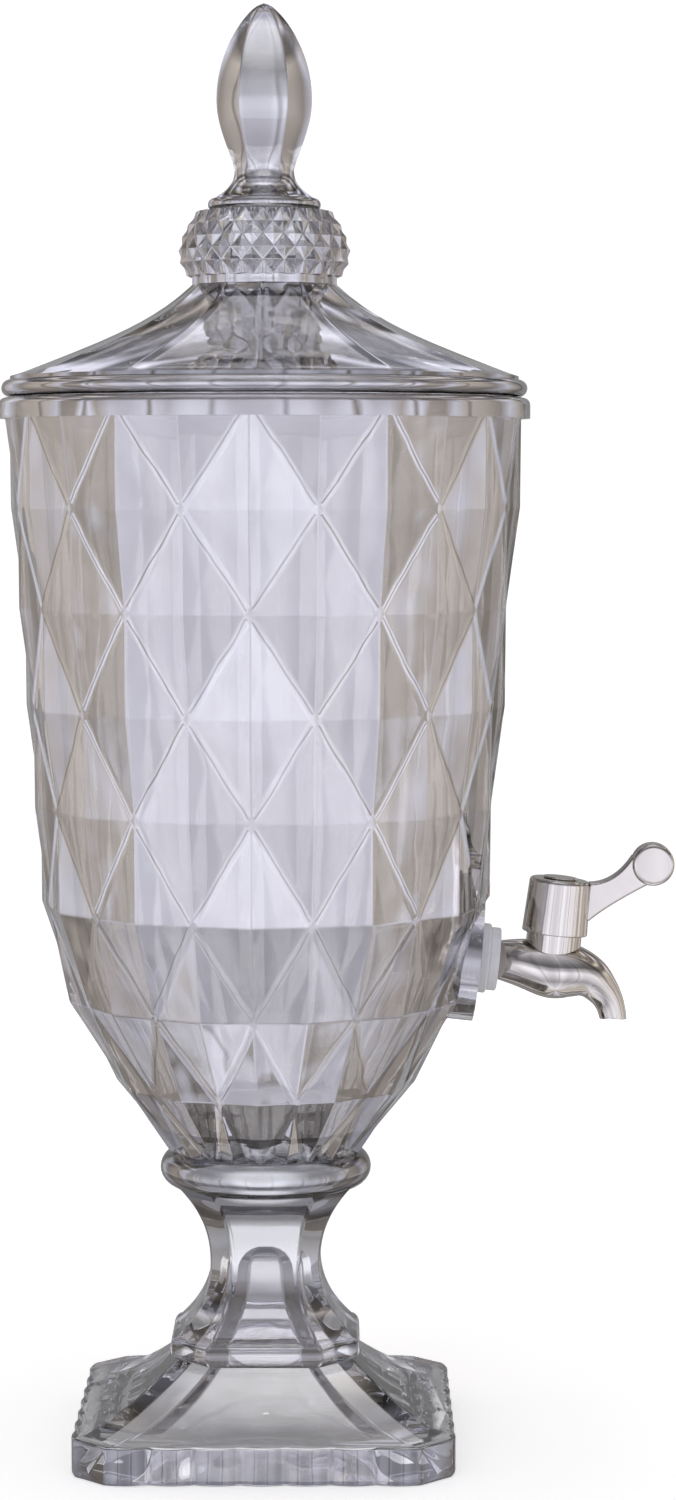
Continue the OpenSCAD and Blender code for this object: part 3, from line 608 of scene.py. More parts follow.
def cut_diamonds(bm, rows, columns, relief, valley, crease):
    """Skin of diamonds whose crossings and tips take turns along each row, rounded at its edges."""
    mark = bm.edges.layers.int.new("crease")
    around = 2 * columns
    revolve(bm, rows, around)
    crossings = set()
    for vert in bm.verts:
        column = round(polar(vert)[1] / math.tau * around) % around
        row = min(range(len(rows)), key=lambda j: abs(rows[j][1] - vert.co.z))
        if (row + column) % 2 == 0:
            set_radius(vert, polar(vert)[0] - relief)
            crossings.add(vert)
    for face in bm.faces[:]:
        first, second = (v for v in face.verts if v in crossings)
        bmesh.utils.face_split(face, first, second)
    valleys = edges_among(bm, crossings)
    for edge in bm.edges:
        edge[mark] = int(not edge.is_boundary and not crossings.issuperset(edge.verts))
    soften(bm, valleys, valley, 4)
    marked = [e for e in bm.edges if e[mark] and len(e.link_faces) == 2]
    soften(bm, [e for e in marked if e.calc_face_angle() > CREASE_ANGLE], crease, 2)


# Shader groups and materials


def group_tree(name, inputs, outputs):
    """A shader node group with named sockets."""
    tree = bpy.data.node_groups.new(name, "ShaderNodeTree")
    for socket, kind, value in inputs:
        made = tree.interface.new_socket(name=socket, in_out="INPUT", socket_type=kind)
        made.default_value = value
    for socket, kind in outputs:
        tree.interface.new_socket(name=socket, in_out="OUTPUT", socket_type=kind)
    return tree, tree.nodes.new("NodeGroupInput"), tree.nodes.new("NodeGroupOutput")


def feed(tree, node, values):
    """Gives a node's inputs their values, or links them to the sockets given."""
    for socket, value in values.items():
        if isinstance(value, bpy.types.NodeSocket):
            tree.links.new(value, node.inputs[socket])
        else:
            node.inputs[socket].default_value = value


def add_node(tree, kind, values=None, **attributes):
    """A new shader node with its attributes and inputs set."""
    node = tree.nodes.new(kind)
    for attribute, value in attributes.items():
        setattr(node, attribute, value)
    feed(tree, node, values or {})
    return node


def math_node(tree, operation, *values):
    """Output of a Math node with sockets or numbers as its inputs."""
    return add_node(tree, "ShaderNodeMath", dict(enumerate(values)), operation=operation).outputs[0]


def mix_colours(tree, factor, a, b, blend="MIX"):
    """Output of a Mix node for two colours."""
    inputs = {"Factor": factor, "A": a, "B": b}
    return add_node(tree, "ShaderNodeMix", inputs, data_type="RGBA", blend_type=blend).outputs["Result"]


def press_marks_group():
    """Colour drift, roughness and faint ripples that moulding and polishing leave."""
    name = "Press marks"
    if name in bpy.data.node_groups:
        return bpy.data.node_groups[name]
    tree, given, out = group_tree(
        name,
        [
            ("Colour", "NodeSocketColor", (0.8, 0.8, 0.8, 1)),
            ("Drift", "NodeSocketColor", (0.7, 0.7, 0.7, 1)),
            ("Scale", "NodeSocketFloat", 30.0),
            ("Roughness", "NodeSocketFloat", 0.1),
            ("Spread", "NodeSocketFloat", 0.05),
        ],
        [("Colour", "NodeSocketColor"), ("Roughness", "NodeSocketFloat"), ("Height", "NodeSocketFloat")],
    )
    value = given.outputs
    where = add_node(tree, "ShaderNodeTexCoord").outputs["Object"]
    broad_inputs = {"Vector": where, "Scale": value["Scale"], "Detail": 2}
    broad = add_node(tree, "ShaderNodeTexNoise", broad_inputs).outputs["Fac"]
    fine_inputs = {"Vector": where, "Scale": math_node(tree, "MULTIPLY", value["Scale"], 9), "Detail": 4}
    fine = add_node(tree, "ShaderNodeTexNoise", fine_inputs).outputs["Fac"]
    colour = mix_colours(tree, broad, value["Colour"], value["Drift"])
    roughness = math_node(tree, "MULTIPLY_ADD", fine, value["Spread"], value["Roughness"])
    feed(tree, out, {"Colour": colour, "Roughness": roughness, "Height": broad})
    return tree


def base_material(name, colour, drift, scale, roughness, spread, bump, more=None):
    """A Principled material, made once, whose colour, roughness and bump come from the press marks."""
    if name in bpy.data.materials:
        return bpy.data.materials[name]
    material = bpy.data.materials.new(name)
    material.use_nodes = True
    tree = material.node_tree
    marks = add_node(tree, "ShaderNodeGroup", node_tree=press_marks_group())
    numbers = {"Scale": scale, "Roughness": roughness, "Spread": spread}
    feed(tree, marks, {"Colour": (*colour, 1), "Drift": (*drift, 1), **numbers})
    height = marks.outputs["Height"]
    relief = add_node(tree, "ShaderNodeBump", {"Strength": bump, "Distance": 1 * MM, "Height": height})
    shader = tree.nodes["Principled BSDF"]
    feed(tree, shader, {"Base Color": marks.outputs["Colour"], "Roughness": marks.outputs["Roughness"]})
    feed(tree, shader, {"Normal": relief.outputs["Normal"], **(more or {})})
    return material


def glass_material(settings, name, lustre):
    """Smoke-grey pressed glass with a faint metallic lustre."""
    if name in bpy.data.materials:
        return bpy.data.materials[name]
    material = base_material(
        name,
        settings.colour,
        settings.warm,
        scale=25,
        roughness=settings.roughness,
        spread=0.012,
        bump=settings.ripple,
        more={"Metallic": lustre, "Transmission Weight": 1, "IOR": GLASS_IOR},
    )
    tree = material.node_tree
    smoke = add_node(
        tree, "ShaderNodeVolumeAbsorption", {"Color": (*settings.smoke, 1), "Density": settings.density}
    )
    feed(tree, tree.nodes["Material Output"], {"Volume": smoke.outputs["Volume"]})
    return material


def adhesive_material():
    """Clear cured adhesive."""
    colour, drift = (0.93, 0.93, 0.93), (0.88, 0.88, 0.87)
    marks = {"scale": 90, "roughness": 0.05, "spread": 0.05, "bump": 0.05}
    return base_material("Clear adhesive", colour, drift, **marks, more={"Transmission Weight": 1})


def silver_material(settings):
    """Polished silver plating."""
    drift = [c * 0.93 for c in settings.silver]
    marks = {"scale": 120, "roughness": settings.silver_roughness, "spread": 0.06, "bump": 0.04}
    return base_material("Silver plating", settings.silver, drift, **marks, more={"Metallic": 1})


def silicone_material():
    """Translucent white silicone."""
    return base_material(
        "White silicone",
        (0.93, 0.93, 0.92),
        (0.86, 0.86, 0.85),
        scale=300,
        roughness=0.42,
        spread=0.15,
        bump=0.15,
        more={"Subsurface Weight": 0.4, "Subsurface Radius": (4 * MM, 4 * MM, 4 * MM)},
    )


def plastic_material(name, colour, roughness):
    """Moulded plastic."""
    drift = [c * 0.9 for c in colour]
    return base_material(name, colour, drift, scale=400, roughness=roughness, spread=0.12, bump=0.1)


def steel_material():
    """Zinc plated steel."""
    colour, drift = (0.6, 0.6, 0.62), (0.5, 0.5, 0.53)
    marks = {"scale": 700, "roughness": 0.28, "spread": 0.2, "bump": 0.2}
    return base_material("Zinc plated steel", colour, drift, **marks, more={"Metallic": 1})


# Bowl


def wall_line(size):
    """Outer envelope of the bowl from the rim down past the foot."""
    rim = Vector((BOWL_HIGH.y - size.band_proud, BOWL_HIGH.z))
    shoulder = Vector((size.shoulder_radius, BOWL_LOW.z + size.shoulder_rise))
    foot = Vector((size.foot_radius, BOWL_LOW.z))
    taper = (rim.x - shoulder.x) / (rim.y - shoulder.y)
    flare = math.tan(size.foot_flare)
    knee_z = (shoulder.x - foot.x - taper * shoulder.y + flare * foot.y) / (flare - taper)
    knee = Vector((foot.x + flare * (knee_z - foot.y), knee_z))
    below = foot - Vector((flare, 1)) * size.row_pitch / 2
    return [rim, *bezier(shoulder, knee, foot, 24), below]


def along(line, distance):
    """Point of a line at a distance from its start."""
    for a, b in zip(line, line[1:]):
        step = (b - a).length
        if distance <= step:
            return a.lerp(b, distance / step)
        distance -= step
    return line[-1]


def line_length(line):
    """Length of a line of points."""
    return sum((b - a).length for a, b in zip(line, line[1:]))


def inner_line(line, wall):
    """The envelope set in by the wall's thickness, from the rim down to the foot."""
    points = []
    for i, point in enumerate(line[:-1]):
        way = (line[i + 1] - line[max(i - 1, 0)]).normalized()
        points.append(point + wall * Vector((way.y, -way.x)))
    return points


def cavity_profile(size, grow=0.0):
    """Inside of the bowl from the rim to the middle of the floor."""
    floor_z = BOWL_LOW.z + size.floor
    points = inner_line(wall_line(size), size.wall - grow)
    wall = [tuple(p) for p in points if p.y > floor_z + FLOOR_TURN]
    turn = wall[-1][0] - 2.5 * MM
    return [*wall, (turn, floor_z + 0.6 * MM), (turn - FLOOR_TURN, floor_z), (0, floor_z)]


def tap_rod(tap, name, radius, start, end):
    """A plain round tool along the tap's shank, measured from the boss's face."""
    bm = bmesh.new()
    bmesh.ops.create_cone(
        bm, cap_ends=True, segments=ROUND_STEPS, radius1=radius, radius2=radius, depth=end - start
    )
    bm.transform(Matrix.Translation(((start + end) / 2, 0, 0)) @ TO_SHANK)
    return new_object(bm, name, TAP_FRAME @ Matrix.Translation((-tap.face, 0, 0)))


def cavity_tool(size):
    """Solid of the bowl's inside, a little wider than the real one."""
    profile = cavity_profile(size, grow=0.8 * MM)
    return lathe("cavity_tool", [(0, BOWL_HIGH.z), (profile[0][0], BOWL_HIGH.z), *profile[1:]])


def add_boss(bowl, size, tap):
    """Adds the tap's boss and the flat land inside the bowl, and bores the hole."""
    land = tap.land_depth
    boss = tap_rod(tap, "boss_tool", tap.boss_radius, -land, 0)
    combine(boss, cavity_tool(size), "DIFFERENCE")
    combine(bowl, boss, "UNION")
    face = tap_rod(tap, "face_tool", tap.boss_radius + TOOL_MARGIN, 0, tap.boss_radius)
    combine(bowl, face, "DIFFERENCE")
    combine(bowl, tap_rod(tap, "land_tool", tap.land_radius, -land, -land / 2), "UNION")
    combine(bowl, tap_rod(tap, "hole_tool", tap.hole_radius, -2 * land, land), "DIFFERENCE")


def make_bowl(size, tap):
    """Bowl with diamonds outside, a smooth inside, a rim band and the tap's boss."""
    line = wall_line(size)
    count = int((line_length(line) - size.first_row) // size.row_pitch)
    rows = [tuple(along(line, size.first_row + j * size.row_pitch)) for j in range(count + 1)]
    rows.append(tuple(line[-1]))
    band_z = BOWL_HIGH.z - size.band_height
    bm = bmesh.new()
    cut_diamonds(bm, rows, size.columns, size.relief, size.valley, size.crease)
    bm.transform(Matrix.Rotation(size.diamond_turn, 4, "Z"))
    trim(bm, band_z, up=True)
    trim(bm, BOWL_LOW.z, up=False)
    bmesh.ops.edgeloop_fill(bm, edges=open_edges(bm, BOWL_LOW.z))
    rim_r = BOWL_HIGH.y
    inside = cavity_profile(size)
    revolve(
        bm,
        [(rim_r, band_z)]
        + arc((rim_r - size.rim_round, BOWL_HIGH.z - size.rim_round), size.rim_round, 0, 90, 5)
        + arc((inside[0][0] + RIM_LIP, BOWL_HIGH.z - RIM_LIP), RIM_LIP, 90, 180, 3)
        + inside[1:],
    )
    bmesh.ops.triangle_fill(bm, use_beauty=True, edges=open_edges(bm, band_z), normal=-Z_AXIS)
    bowl = new_object(bm, "glass_bowl")
    add_boss(bowl, size, tap)
    return smooth(bowl)


# Lid and finial


def lid_slope(size, radius):
    """Height of the lid's slope above its edge."""
    outer = LID_HIGH.y
    u = (outer - radius) / (outer - size.neck_radius)
    return size.rise * (LID_EVEN_RISE * u + (1 - LID_EVEN_RISE) * u**LID_SWEEP)


def lid_shell(size):
    """Skin of the lid from the middle of its hollow over the lip and the edge up to the collar."""
    outer = LID_HIGH.y
    edge_z = LID_LOW.z + size.lip_depth
    slope_z = edge_z + size.edge_height
    roll = size.edge_height / 2
    lip_in = size.lip_radius - size.lip_wall
    panel_start = outer - size.panel_inset
    inside = [(r, slope_z + lid_slope(size, r) - size.wall) for r in stations(size.neck_radius, lip_in, 14)]
    outside = [(r, slope_z + lid_slope(size, r)) for r in stations(panel_start, size.neck_radius, 14)]
    bm = bmesh.new()
    revolve(
        bm,
        [(0, inside[0][1]), *inside]
        + arc((lip_in + LIP_ROUND, LID_LOW.z + LIP_ROUND), LIP_ROUND, 180, 270, 3)
        + arc((size.lip_radius - LIP_ROUND, LID_LOW.z + LIP_ROUND), LIP_ROUND, 270, 360, 3)
        + [(size.lip_radius, edge_z)]
        + arc((outer - roll, edge_z + roll), roll, 270, 450, 10)
        + outside
        + [(size.neck_radius, LID_HIGH.z - size.knurl_height)],
    )
    ridges = set()
    for vert in bm.verts:
        radius, angle = polar(vert)
        if vert.co.z > slope_z + 0.2 * MM and radius > size.neck_radius - WELD:
            fade = max(radius - outer + size.panel_inset + size.panel_fade, 0) / size.panel_fade
            rounding = size.panel_round + (1 - size.panel_round) * fade**2
            middle = 1 - (angle * size.panels / math.pi % 2 - 1) ** 2
            hollowed = 1 - size.panel_hollow * middle * (1 - fade)
            set_radius(vert, radius * panel_share(angle, size.panels, rounding) * hollowed)
            if on_ridge(angle, size.panels) and fade < RIDGE_END:
                ridges.add(vert)
    soften(bm, edges_among(bm, ridges), size.ridge, 3)
    return bm


def add_collar(bm, size):
    """Adds the knurled collar to the lid's skin."""
    low = size.neck_radius + size.knurl_depth + 0.3 * MM
    rows = []
    for u in even(size.knurl_rows):
        if u < COLLAR_WIDEST:
            swell = math.sin(math.pi / 2 * u / COLLAR_WIDEST)
            radius = between(size.knurl_top, size.knurl_radius, swell)
        else:
            swell = math.cos(math.pi / 2 * (u - COLLAR_WIDEST) / (1 - COLLAR_WIDEST))
            radius = between(low, size.knurl_radius, swell)
        rows.append((radius, LID_HIGH.z - size.knurl_height * u))
    collar = bmesh.new()
    cut_diamonds(collar, rows, size.knurl_columns, size.knurl_depth, KNURL_VALLEY, KNURL_CREASE)
    bmesh.ops.edgeloop_fill(collar, edges=open_edges(collar, LID_HIGH.z))
    piece = bpy.data.meshes.new("collar")
    collar.to_mesh(piece)
    collar.free()
    bm.from_mesh(piece)
    bpy.data.meshes.remove(piece)


def make_lid(size):
    """Lid with panelled slope, rolled edge, lip and knurled collar."""
    bm = lid_shell(size)
    add_collar(bm, size)
    seam = open_edges(bm, LID_HIGH.z - size.knurl_height)
    bmesh.ops.triangle_fill(bm, use_beauty=True, edges=seam, normal=-Z_AXIS)
    return smooth(new_object(bm, "glass_lid"))


def make_finial(size):
    """Finial: round shoulder, flared neck and panelled bulb."""
    low = FINIAL_LOW.z
    half = size.foot_height / 2
    flare_r = size.foot_radius - half
    flare_z = low + size.foot_height
    neck_z = flare_z + size.flare_height
    bulb_z = neck_z + size.bulb_low
    flare = [
        (between(size.neck_radius, flare_r, (1 - u) ** FLARE_POWER), flare_z + size.flare_height * u)
        for u in even(10)[1:-1]
    ]
    lower = [
        (
            between(size.neck_radius, size.bulb_radius, math.sin(math.pi / 2 * u) ** LOWER_BULB_POWER),
            neck_z + size.bulb_low * u,
        )
        for u in even(12)[:-1]
    ]
    upper = [
        (size.bulb_radius * math.cos(math.pi / 2 * v) ** UPPER_BULB_POWER, bulb_z + size.bulb_up * v)
        for v in (1 - (1 - u) ** TIP_SPACING for u in even(16)[:-1])
    ]
    shoulder = arc((flare_r, low + half), half, 270, 450, 8)
    bm = bmesh.new()
    profile = [(0, low), *shoulder, *flare, *lower, *upper, (0, FINIAL_HIGH.z)]
    revolve(bm, profile, size.panels * 12)
    panel_z = neck_z - size.flare_height / 2
    ridges = set()
    for vert in bm.verts:
        radius, angle = polar(vert)
        if vert.co.z < panel_z or radius < WELD:
            continue
        blend = min((vert.co.z - panel_z) / size.flare_height, 1)
        rounding = 1 - (1 - size.panel_round) * blend
        set_radius(vert, radius * panel_share(angle, size.panels, rounding))
        if on_ridge(angle, size.panels) and vert.co.z > neck_z and radius > 3 * MM:
            ridges.add(vert)
    soften(bm, edges_among(bm, ridges), size.ridge, 3)
    return smooth(new_object(bm, "glass_finial"))


# Foot


def stem_ring(half, keep):
    """Eight corners of a square of half-width half, whose sides keep a share of their width."""
    corners = []
    for quarter in range(4):
        turn = Matrix.Rotation(quarter * math.pi / 2, 2)
        corners += [turn @ Vector((half, -half * keep)), turn @ Vector((half, half * keep))]
    return corners


def base_keep(size):
    """Share of a side that the base's chamfered corners leave."""
    return (BASE_HIGH.x - size.corner) / BASE_HIGH.x


def stem_rings(size):
    """Rings of the stem and the slope from the collar down: half-width, kept share, height."""
    bead_z = size.edge_height + size.slope_height
    stem_z = bead_z + size.bead_height
    neck_z = stem_z + size.stem_low
    low_keep = base_keep(size)
    slope_half = BASE_HIGH.x - size.slope_inset
    inner = size.bead_half - size.bead_proud
    rings = [
        (between(size.neck_half, size.top_half, u**STEM_POWER), STEM_KEEP, neck_z + size.stem_up * u)
        for u in (1 - t for t in even(12))
    ]
    rings += [
        (between(size.neck_half, inner, u**STEM_POWER), STEM_KEEP, neck_z - size.stem_low * u)
        for u in even(10)[1:]
    ]
    rings += [
        (
            inner + size.bead_proud * math.sin(turn),
            STEM_KEEP,
            stem_z - size.bead_height / 2 * (1 - math.cos(turn)),
        )
        for turn in stations(0, math.pi, 8)[1:-1]
    ]
    rings += [
        (
            between(inner, slope_half, u),
            between(STEM_KEEP, low_keep, u),
            size.edge_height + size.slope_height * (1 - u) ** SLOPE_POWER,
        )
        for u in even(12)
    ]
    return [*rings, (slope_half, low_keep, size.edge_height / 2)]


def hollow_rings(size):
    """Rings of the hollow under the foot from its domed top down past the floor."""
    low_keep = base_keep(size)
    bend_z = size.hollow_height - size.hollow_top
    rings = [
        (size.hollow_top * math.cos(a), STEM_KEEP, bend_z + size.hollow_top * math.sin(a))
        for a in (math.radians(15 * i) for i in range(5, 0, -1))
    ]
    for i in range(16, -1, -1):
        drawn = (1 - i / 16) ** HOLLOW_POWER
        half = between(size.hollow_top, size.hollow_half, drawn)
        rings.append((half, between(STEM_KEEP, low_keep, drawn), bend_z * i / 16))
    return [*rings, (size.hollow_half, low_keep, -1 * MM)]


def turn_apart(a, b):
    """Angle between two places about the Z axis."""
    return abs((math.atan2(a.y, a.x) - math.atan2(b.y, b.x) + math.pi) % math.tau - math.pi)


def ring_stack(name, rings, ridge):
    """Solid of eight-cornered rings extruded one from the other, with its upright edges rounded."""
    half, keep, z = rings[0]
    bm = bmesh.new()
    verts = [bm.verts.new((p.x, p.y, z)) for p in stem_ring(half, keep)]
    loop = [bm.edges.new(pair) for pair in zip(verts, verts[1:] + verts[:1])]
    bmesh.ops.edgeloop_fill(bm, edges=loop)
    for half, keep, z in rings[1:]:
        made = bmesh.ops.extrude_edge_only(bm, edges=loop)["geom"]
        corners = stem_ring(half, keep)
        for vert in of_kind(made, BMVert):
            near = min(corners, key=lambda corner: turn_apart(corner, vert.co))
            vert.co = (near.x, near.y, z)
        loop = [e for e in of_kind(made, BMEdge) if e.is_boundary]
    bmesh.ops.edgeloop_fill(bm, edges=loop)
    upright = [e for e in bm.edges if not is_level(e) and len(e.link_faces) == 2]
    soften(bm, [e for e in upright if e.calc_face_angle() > RIDGE_ANGLE], ridge, 3)
    return new_object(bm, name)


def make_slab(size):
    """Square base with lobed sides."""
    flat = BASE_HIGH.x - size.corner
    pitch = 2 * flat / size.lobes
    steps = 10
    outline = []
    for quarter in range(4):
        turn = Matrix.Rotation(quarter * math.pi / 2, 2)
        for i in range(size.lobes * steps + 1):
            dip = size.lobe_depth * (1 - abs(math.sin(math.pi * i / steps)))
            outline.append(turn @ Vector((BASE_HIGH.x - dip, -flat + i * pitch / steps)))
    bm = prism([(p.x, p.y, 0) for p in outline], (0, 0, size.edge_height))
    soften(bm, [e for e in bm.edges if is_level(e)], SLAB_ROUND, 3)
    return new_object(bm, "slab_tool")


def make_pedestal(size):
    """Foot: lobed slab, concave slope, panelled stem, round collar and the hollow underneath."""
    foot = ring_stack("glass_foot", stem_rings(size), size.ridge)
    combine(foot, make_slab(size), "UNION")
    top = BASE_HIGH.z
    half = size.collar_height / 2
    side = arc((size.collar_radius - half, top - half), half, 270, 450, 14)
    combine(foot, lathe("collar_tool", [(0, top - 2 * half), *side, (0, top)]), "UNION")
    combine(foot, ring_stack("hollow_tool", hollow_rings(size), HOLLOW_ROUND), "DIFFERENCE")
    return smooth(foot)


# Tap


def smooth_line(points, steps):
    """Smooth curve through points, each a vector of place, radius and extra half-width."""
    line = []
    for i in range(len(points) - 1):
        a, b = points[max(i - 1, 0)], points[i]
        c, d = points[i + 1], points[min(i + 2, len(points) - 1)]
        bend = 2 * a - 5 * b + 4 * c - d
        swing = 3 * b - a - 3 * c + d
        for t in even(steps)[:-1]:
            line.append(0.5 * (2 * b + t * (c - a) + t * t * bend + t**3 * swing))
    return [*line, points[-1]]


def tap_line(tap):
    """Line of the tap's skin from the barrel over the belly to the spout's mouth."""
    fall, reach = tap.belly_radius - tap.spout_radius, tap.spout_reach
    wide = tap.belly_half - tap.belly_radius
    middle = (tap.barrel_radius + tap.belly_radius) / 2
    points = (
        (-tap.barrel, 0, tap.barrel_radius, 0),
        (-tap.barrel * 0.55, -tap.belly_drop * 0.2, middle, wide * 0.7),
        (0, -tap.belly_drop, tap.belly_radius, wide),
        (reach * 0.33, -tap.belly_drop, tap.belly_radius - fall * 0.17, wide),
        (reach * 0.59, -tap.spout_drop * 0.19, tap.belly_radius - fall * 0.49, wide * 0.7),
        (reach * 0.79, -tap.spout_drop * 0.43, tap.belly_radius - fall * 0.78, wide * 0.3),
        (reach * 0.92, -tap.spout_drop * 0.69, tap.belly_radius - fall * 0.93, 0),
        (reach, -tap.spout_drop, tap.spout_radius, 0),
    )
    return smooth_line([Vector(p) for p in points], 6)


def sweep(line):
    """Mesh of rings along a line, closed at both ends, and its last face."""
    bm = bmesh.new()
    last = len(line) - 1
    for i, point in enumerate(line):
        ahead = line[min(i + 1, last)] - line[max(i - 1, 0)]
        way = Vector((ahead.x, 0, ahead.y)).normalized()
        if i == 0:
            way = X_AXIS
        if i == last:
            way = Vector((0, 0, -1))
        turn = X_AXIS.rotation_difference(way).to_matrix().to_4x4()
        ring = Matrix.Translation((point.x, 0, point.y)) @ turn @ TO_SHANK
        if i == 0:
            bmesh.ops.create_circle(bm, segments=TUBE_STEPS, radius=point.z, matrix=ring)
            loop = bm.edges[:]
            bmesh.ops.edgeloop_fill(bm, edges=loop)
            before = ring @ Matrix.Scale(point.z, 4)
            continue
        made = bmesh.ops.extrude_edge_only(bm, edges=loop)["geom"]
        now = ring @ Matrix.Diagonal((point.z, point.z + point.w, point.z, 1))
        bmesh.ops.transform(bm, matrix=now @ before.inverted(), verts=of_kind(made, BMVert))
        before = now
        loop = [e for e in of_kind(made, BMEdge) if e.is_boundary]
    return bm, bmesh.ops.edgeloop_fill(bm, edges=loop)["faces"]


def bore_mouth(bm, mouth, tap):
    """Bores the spout's mouth and rounds its rim."""
    wall = tap.spout_radius - tap.spout_bore
    bmesh.ops.inset_region(bm, faces=mouth, thickness=wall, use_even_offset=True)
    for _ in range(2):
        made = bmesh.ops.extrude_face_region(bm, geom=mouth)["geom"]
        bmesh.ops.delete(bm, geom=mouth, context="FACES_ONLY")
        mouth = of_kind(made, BMFace)
        bmesh.ops.translate(bm, verts=of_kind(made, BMVert), vec=BORE_STEP)
    mouth_z = -tap.spout_drop * 0.9
    rim = [e for e in bm.edges if e.calc_face_angle(0) > RIM_ANGLE and e.verts[0].co.z < mouth_z]
    soften(bm, rim, MOUTH_ROUND, 2)


def shank_profile(tap):
    """Radii and places along the threaded shank, from its end to the barrel."""
    end, pitch = tap.shank_end, tap.thread_pitch
    core = tap.shank_radius - tap.thread_depth
    root = tap.face - tap.barrel + 1 * MM
    profile = [(0, -end)]
    for i in range(int(end // pitch)):
        z = -end + i * pitch
        profile += [(core, z), (tap.shank_radius, z + pitch * 0.4), (tap.shank_radius, z + pitch * 0.6)]
    return profile + [(core, profile[-1][1] + 0.4 * pitch), (core, root), (0, root)]


def make_tap_body(tap):
    """Tap body: barrel, belly and spout as one swept skin, with the neck, the shank and its thread."""
    bm, mouth = sweep(tap_line(tap))
    bore_mouth(bm, mouth, tap)
    body = new_object(bm, "silver_tap_body", TAP_FRAME)
    low, top, radius = -tap.belly_drop, tap.neck_top, tap.neck_radius
    edge = arc((radius - TURNED_EDGE, top - TURNED_EDGE), TURNED_EDGE, 0, 90, 3)
    combine(body, lathe("neck_tool", [(0, low), (radius, low), *edge, (0, top)], TAP_FRAME), "UNION")
    at_shank = TAP_FRAME @ Matrix.Translation((-tap.face, 0, 0)) @ TO_SHANK
    combine(body, lathe("shank_tool", shank_profile(tap), at_shank, TUBE_STEPS), "UNION")
    return smooth(body, 40)


def lever_outline(tap):
    """Side view of the lever from the handle's root out to the disc and back."""
    low, top = tap.handle_low, tap.handle_low + tap.handle_height
    disc_z = top + tap.disc_rise
    root = tap.neck_radius + 0.6 * MM
    lever_low = low + tap.handle_height * 0.3
    under = bezier(
        (tap.handle_radius, lever_low),
        (tap.disc_reach * 0.55, low + tap.handle_height * 0.62),
        (tap.disc_reach - tap.disc_radius * 0.1, disc_z - tap.disc_radius * 0.95),
        10,
    )
    over = bezier(
        (tap.disc_reach - tap.disc_radius, disc_z + tap.disc_radius * 0.3),
        (tap.disc_reach * 0.6, top + 0.6 * MM),
        (tap.handle_top_radius - 0.5 * MM, top - 0.2 * MM),
        10,
    )
    ends = Vector((root, lever_low)), Vector((root, top - HANDLE_ROUND))
    return [ends[0], *under, Vector((tap.disc_reach, disc_z)), *over, ends[1]]


def lever_tool(tap):
    """The lever with rounded sides."""
    half = tap.lever_thickness / 2
    bm = prism([(p.x, -half, p.y) for p in lever_outline(tap)], (0, 2 * half, 0))
    sides = [e for e in bm.edges if abs(e.verts[0].co.y - e.verts[1].co.y) < WELD]
    soften(bm, sides, LEVER_ROUND, 4)
    return new_object(bm, "lever_tool", TAP_FRAME)


def disc_tool(tap):
    """The disc at the lever's end."""
    thick = tap.disc_thickness / 2
    flat, side = tap.disc_radius - DISC_ROUND, thick - DISC_ROUND
    front = arc((flat, -thick + DISC_ROUND), DISC_ROUND, 270, 360, 5)
    back = arc((flat, side), DISC_ROUND, 0, 90, 5)
    disc_z = tap.handle_low + tap.handle_height + tap.disc_rise
    at_disc = Matrix.Translation((tap.disc_reach, 0, disc_z)) @ Matrix.Rotation(math.pi / 2, 4, "X")
    return lathe("disc_tool", [(0, -thick), *front, *back, (0, thick)], TAP_FRAME @ at_disc)


def make_handle(tap):
    """Handle: a cap over the valve with a lever that ends in a disc."""
    low, top = tap.handle_low, tap.handle_low + tap.handle_height
    inner = tap.neck_radius + SKIRT_GAP
    roof = tap.neck_top + ROOF_GAP
    skirt = arc((tap.handle_radius - TURNED_EDGE, low + TURNED_EDGE), TURNED_EDGE, 270, 360, 3)
    edge = arc((tap.handle_top_radius - HANDLE_ROUND, top - HANDLE_ROUND), HANDLE_ROUND, 0, 90, 6)
    profile = [(0, roof), (inner, roof), (inner, low), *skirt, *edge, (0, top)]
    handle = lathe("silver_handle", profile, TAP_FRAME)
    combine(handle, lever_tool(tap), "UNION")
    combine(handle, disc_tool(tap), "UNION")
    return smooth(handle, 40)


def make_cap(tap):
    """Small domed disc that covers the handle's screw."""
    low = tap.handle_low + tap.handle_height
    edge = arc((tap.cap_radius - CAP_ROUND, low + CAP_ROUND), CAP_ROUND, 270, 410, 5)
    dome = [(tap.cap_radius * 0.6, low + 0.78 * MM), (0, low + 0.8 * MM)]
    return smooth(lathe("silver_handle_cap", [(0, low), *edge, *dome], TAP_FRAME))


def along_shank(node):
    """Start and end of a node along the tap's shank."""
    to_tap = TAP_FRAME.inverted()
    spots = [(to_tap @ v.co).x for v in frame["nodes"][node].data.vertices]
    return min(spots), max(spots)


def make_ring(name, node, radius, bore, edge):
    """Washer on the shank with rounded rims, as thick as its node."""
    start, end = along_shank(node)
    profile = (
        arc((radius - edge, end - edge), edge, 90, 0, 4)
        + arc((radius - edge, start + edge), edge, 0, -90, 4)
        + arc((bore + edge, start + edge), edge, -90, -180, 3)
        + arc((bore + edge, end - edge), edge, 180, 90, 3)
    )
    return smooth(lathe(name, [*profile, profile[0]], TAP_FRAME @ TO_SHANK))


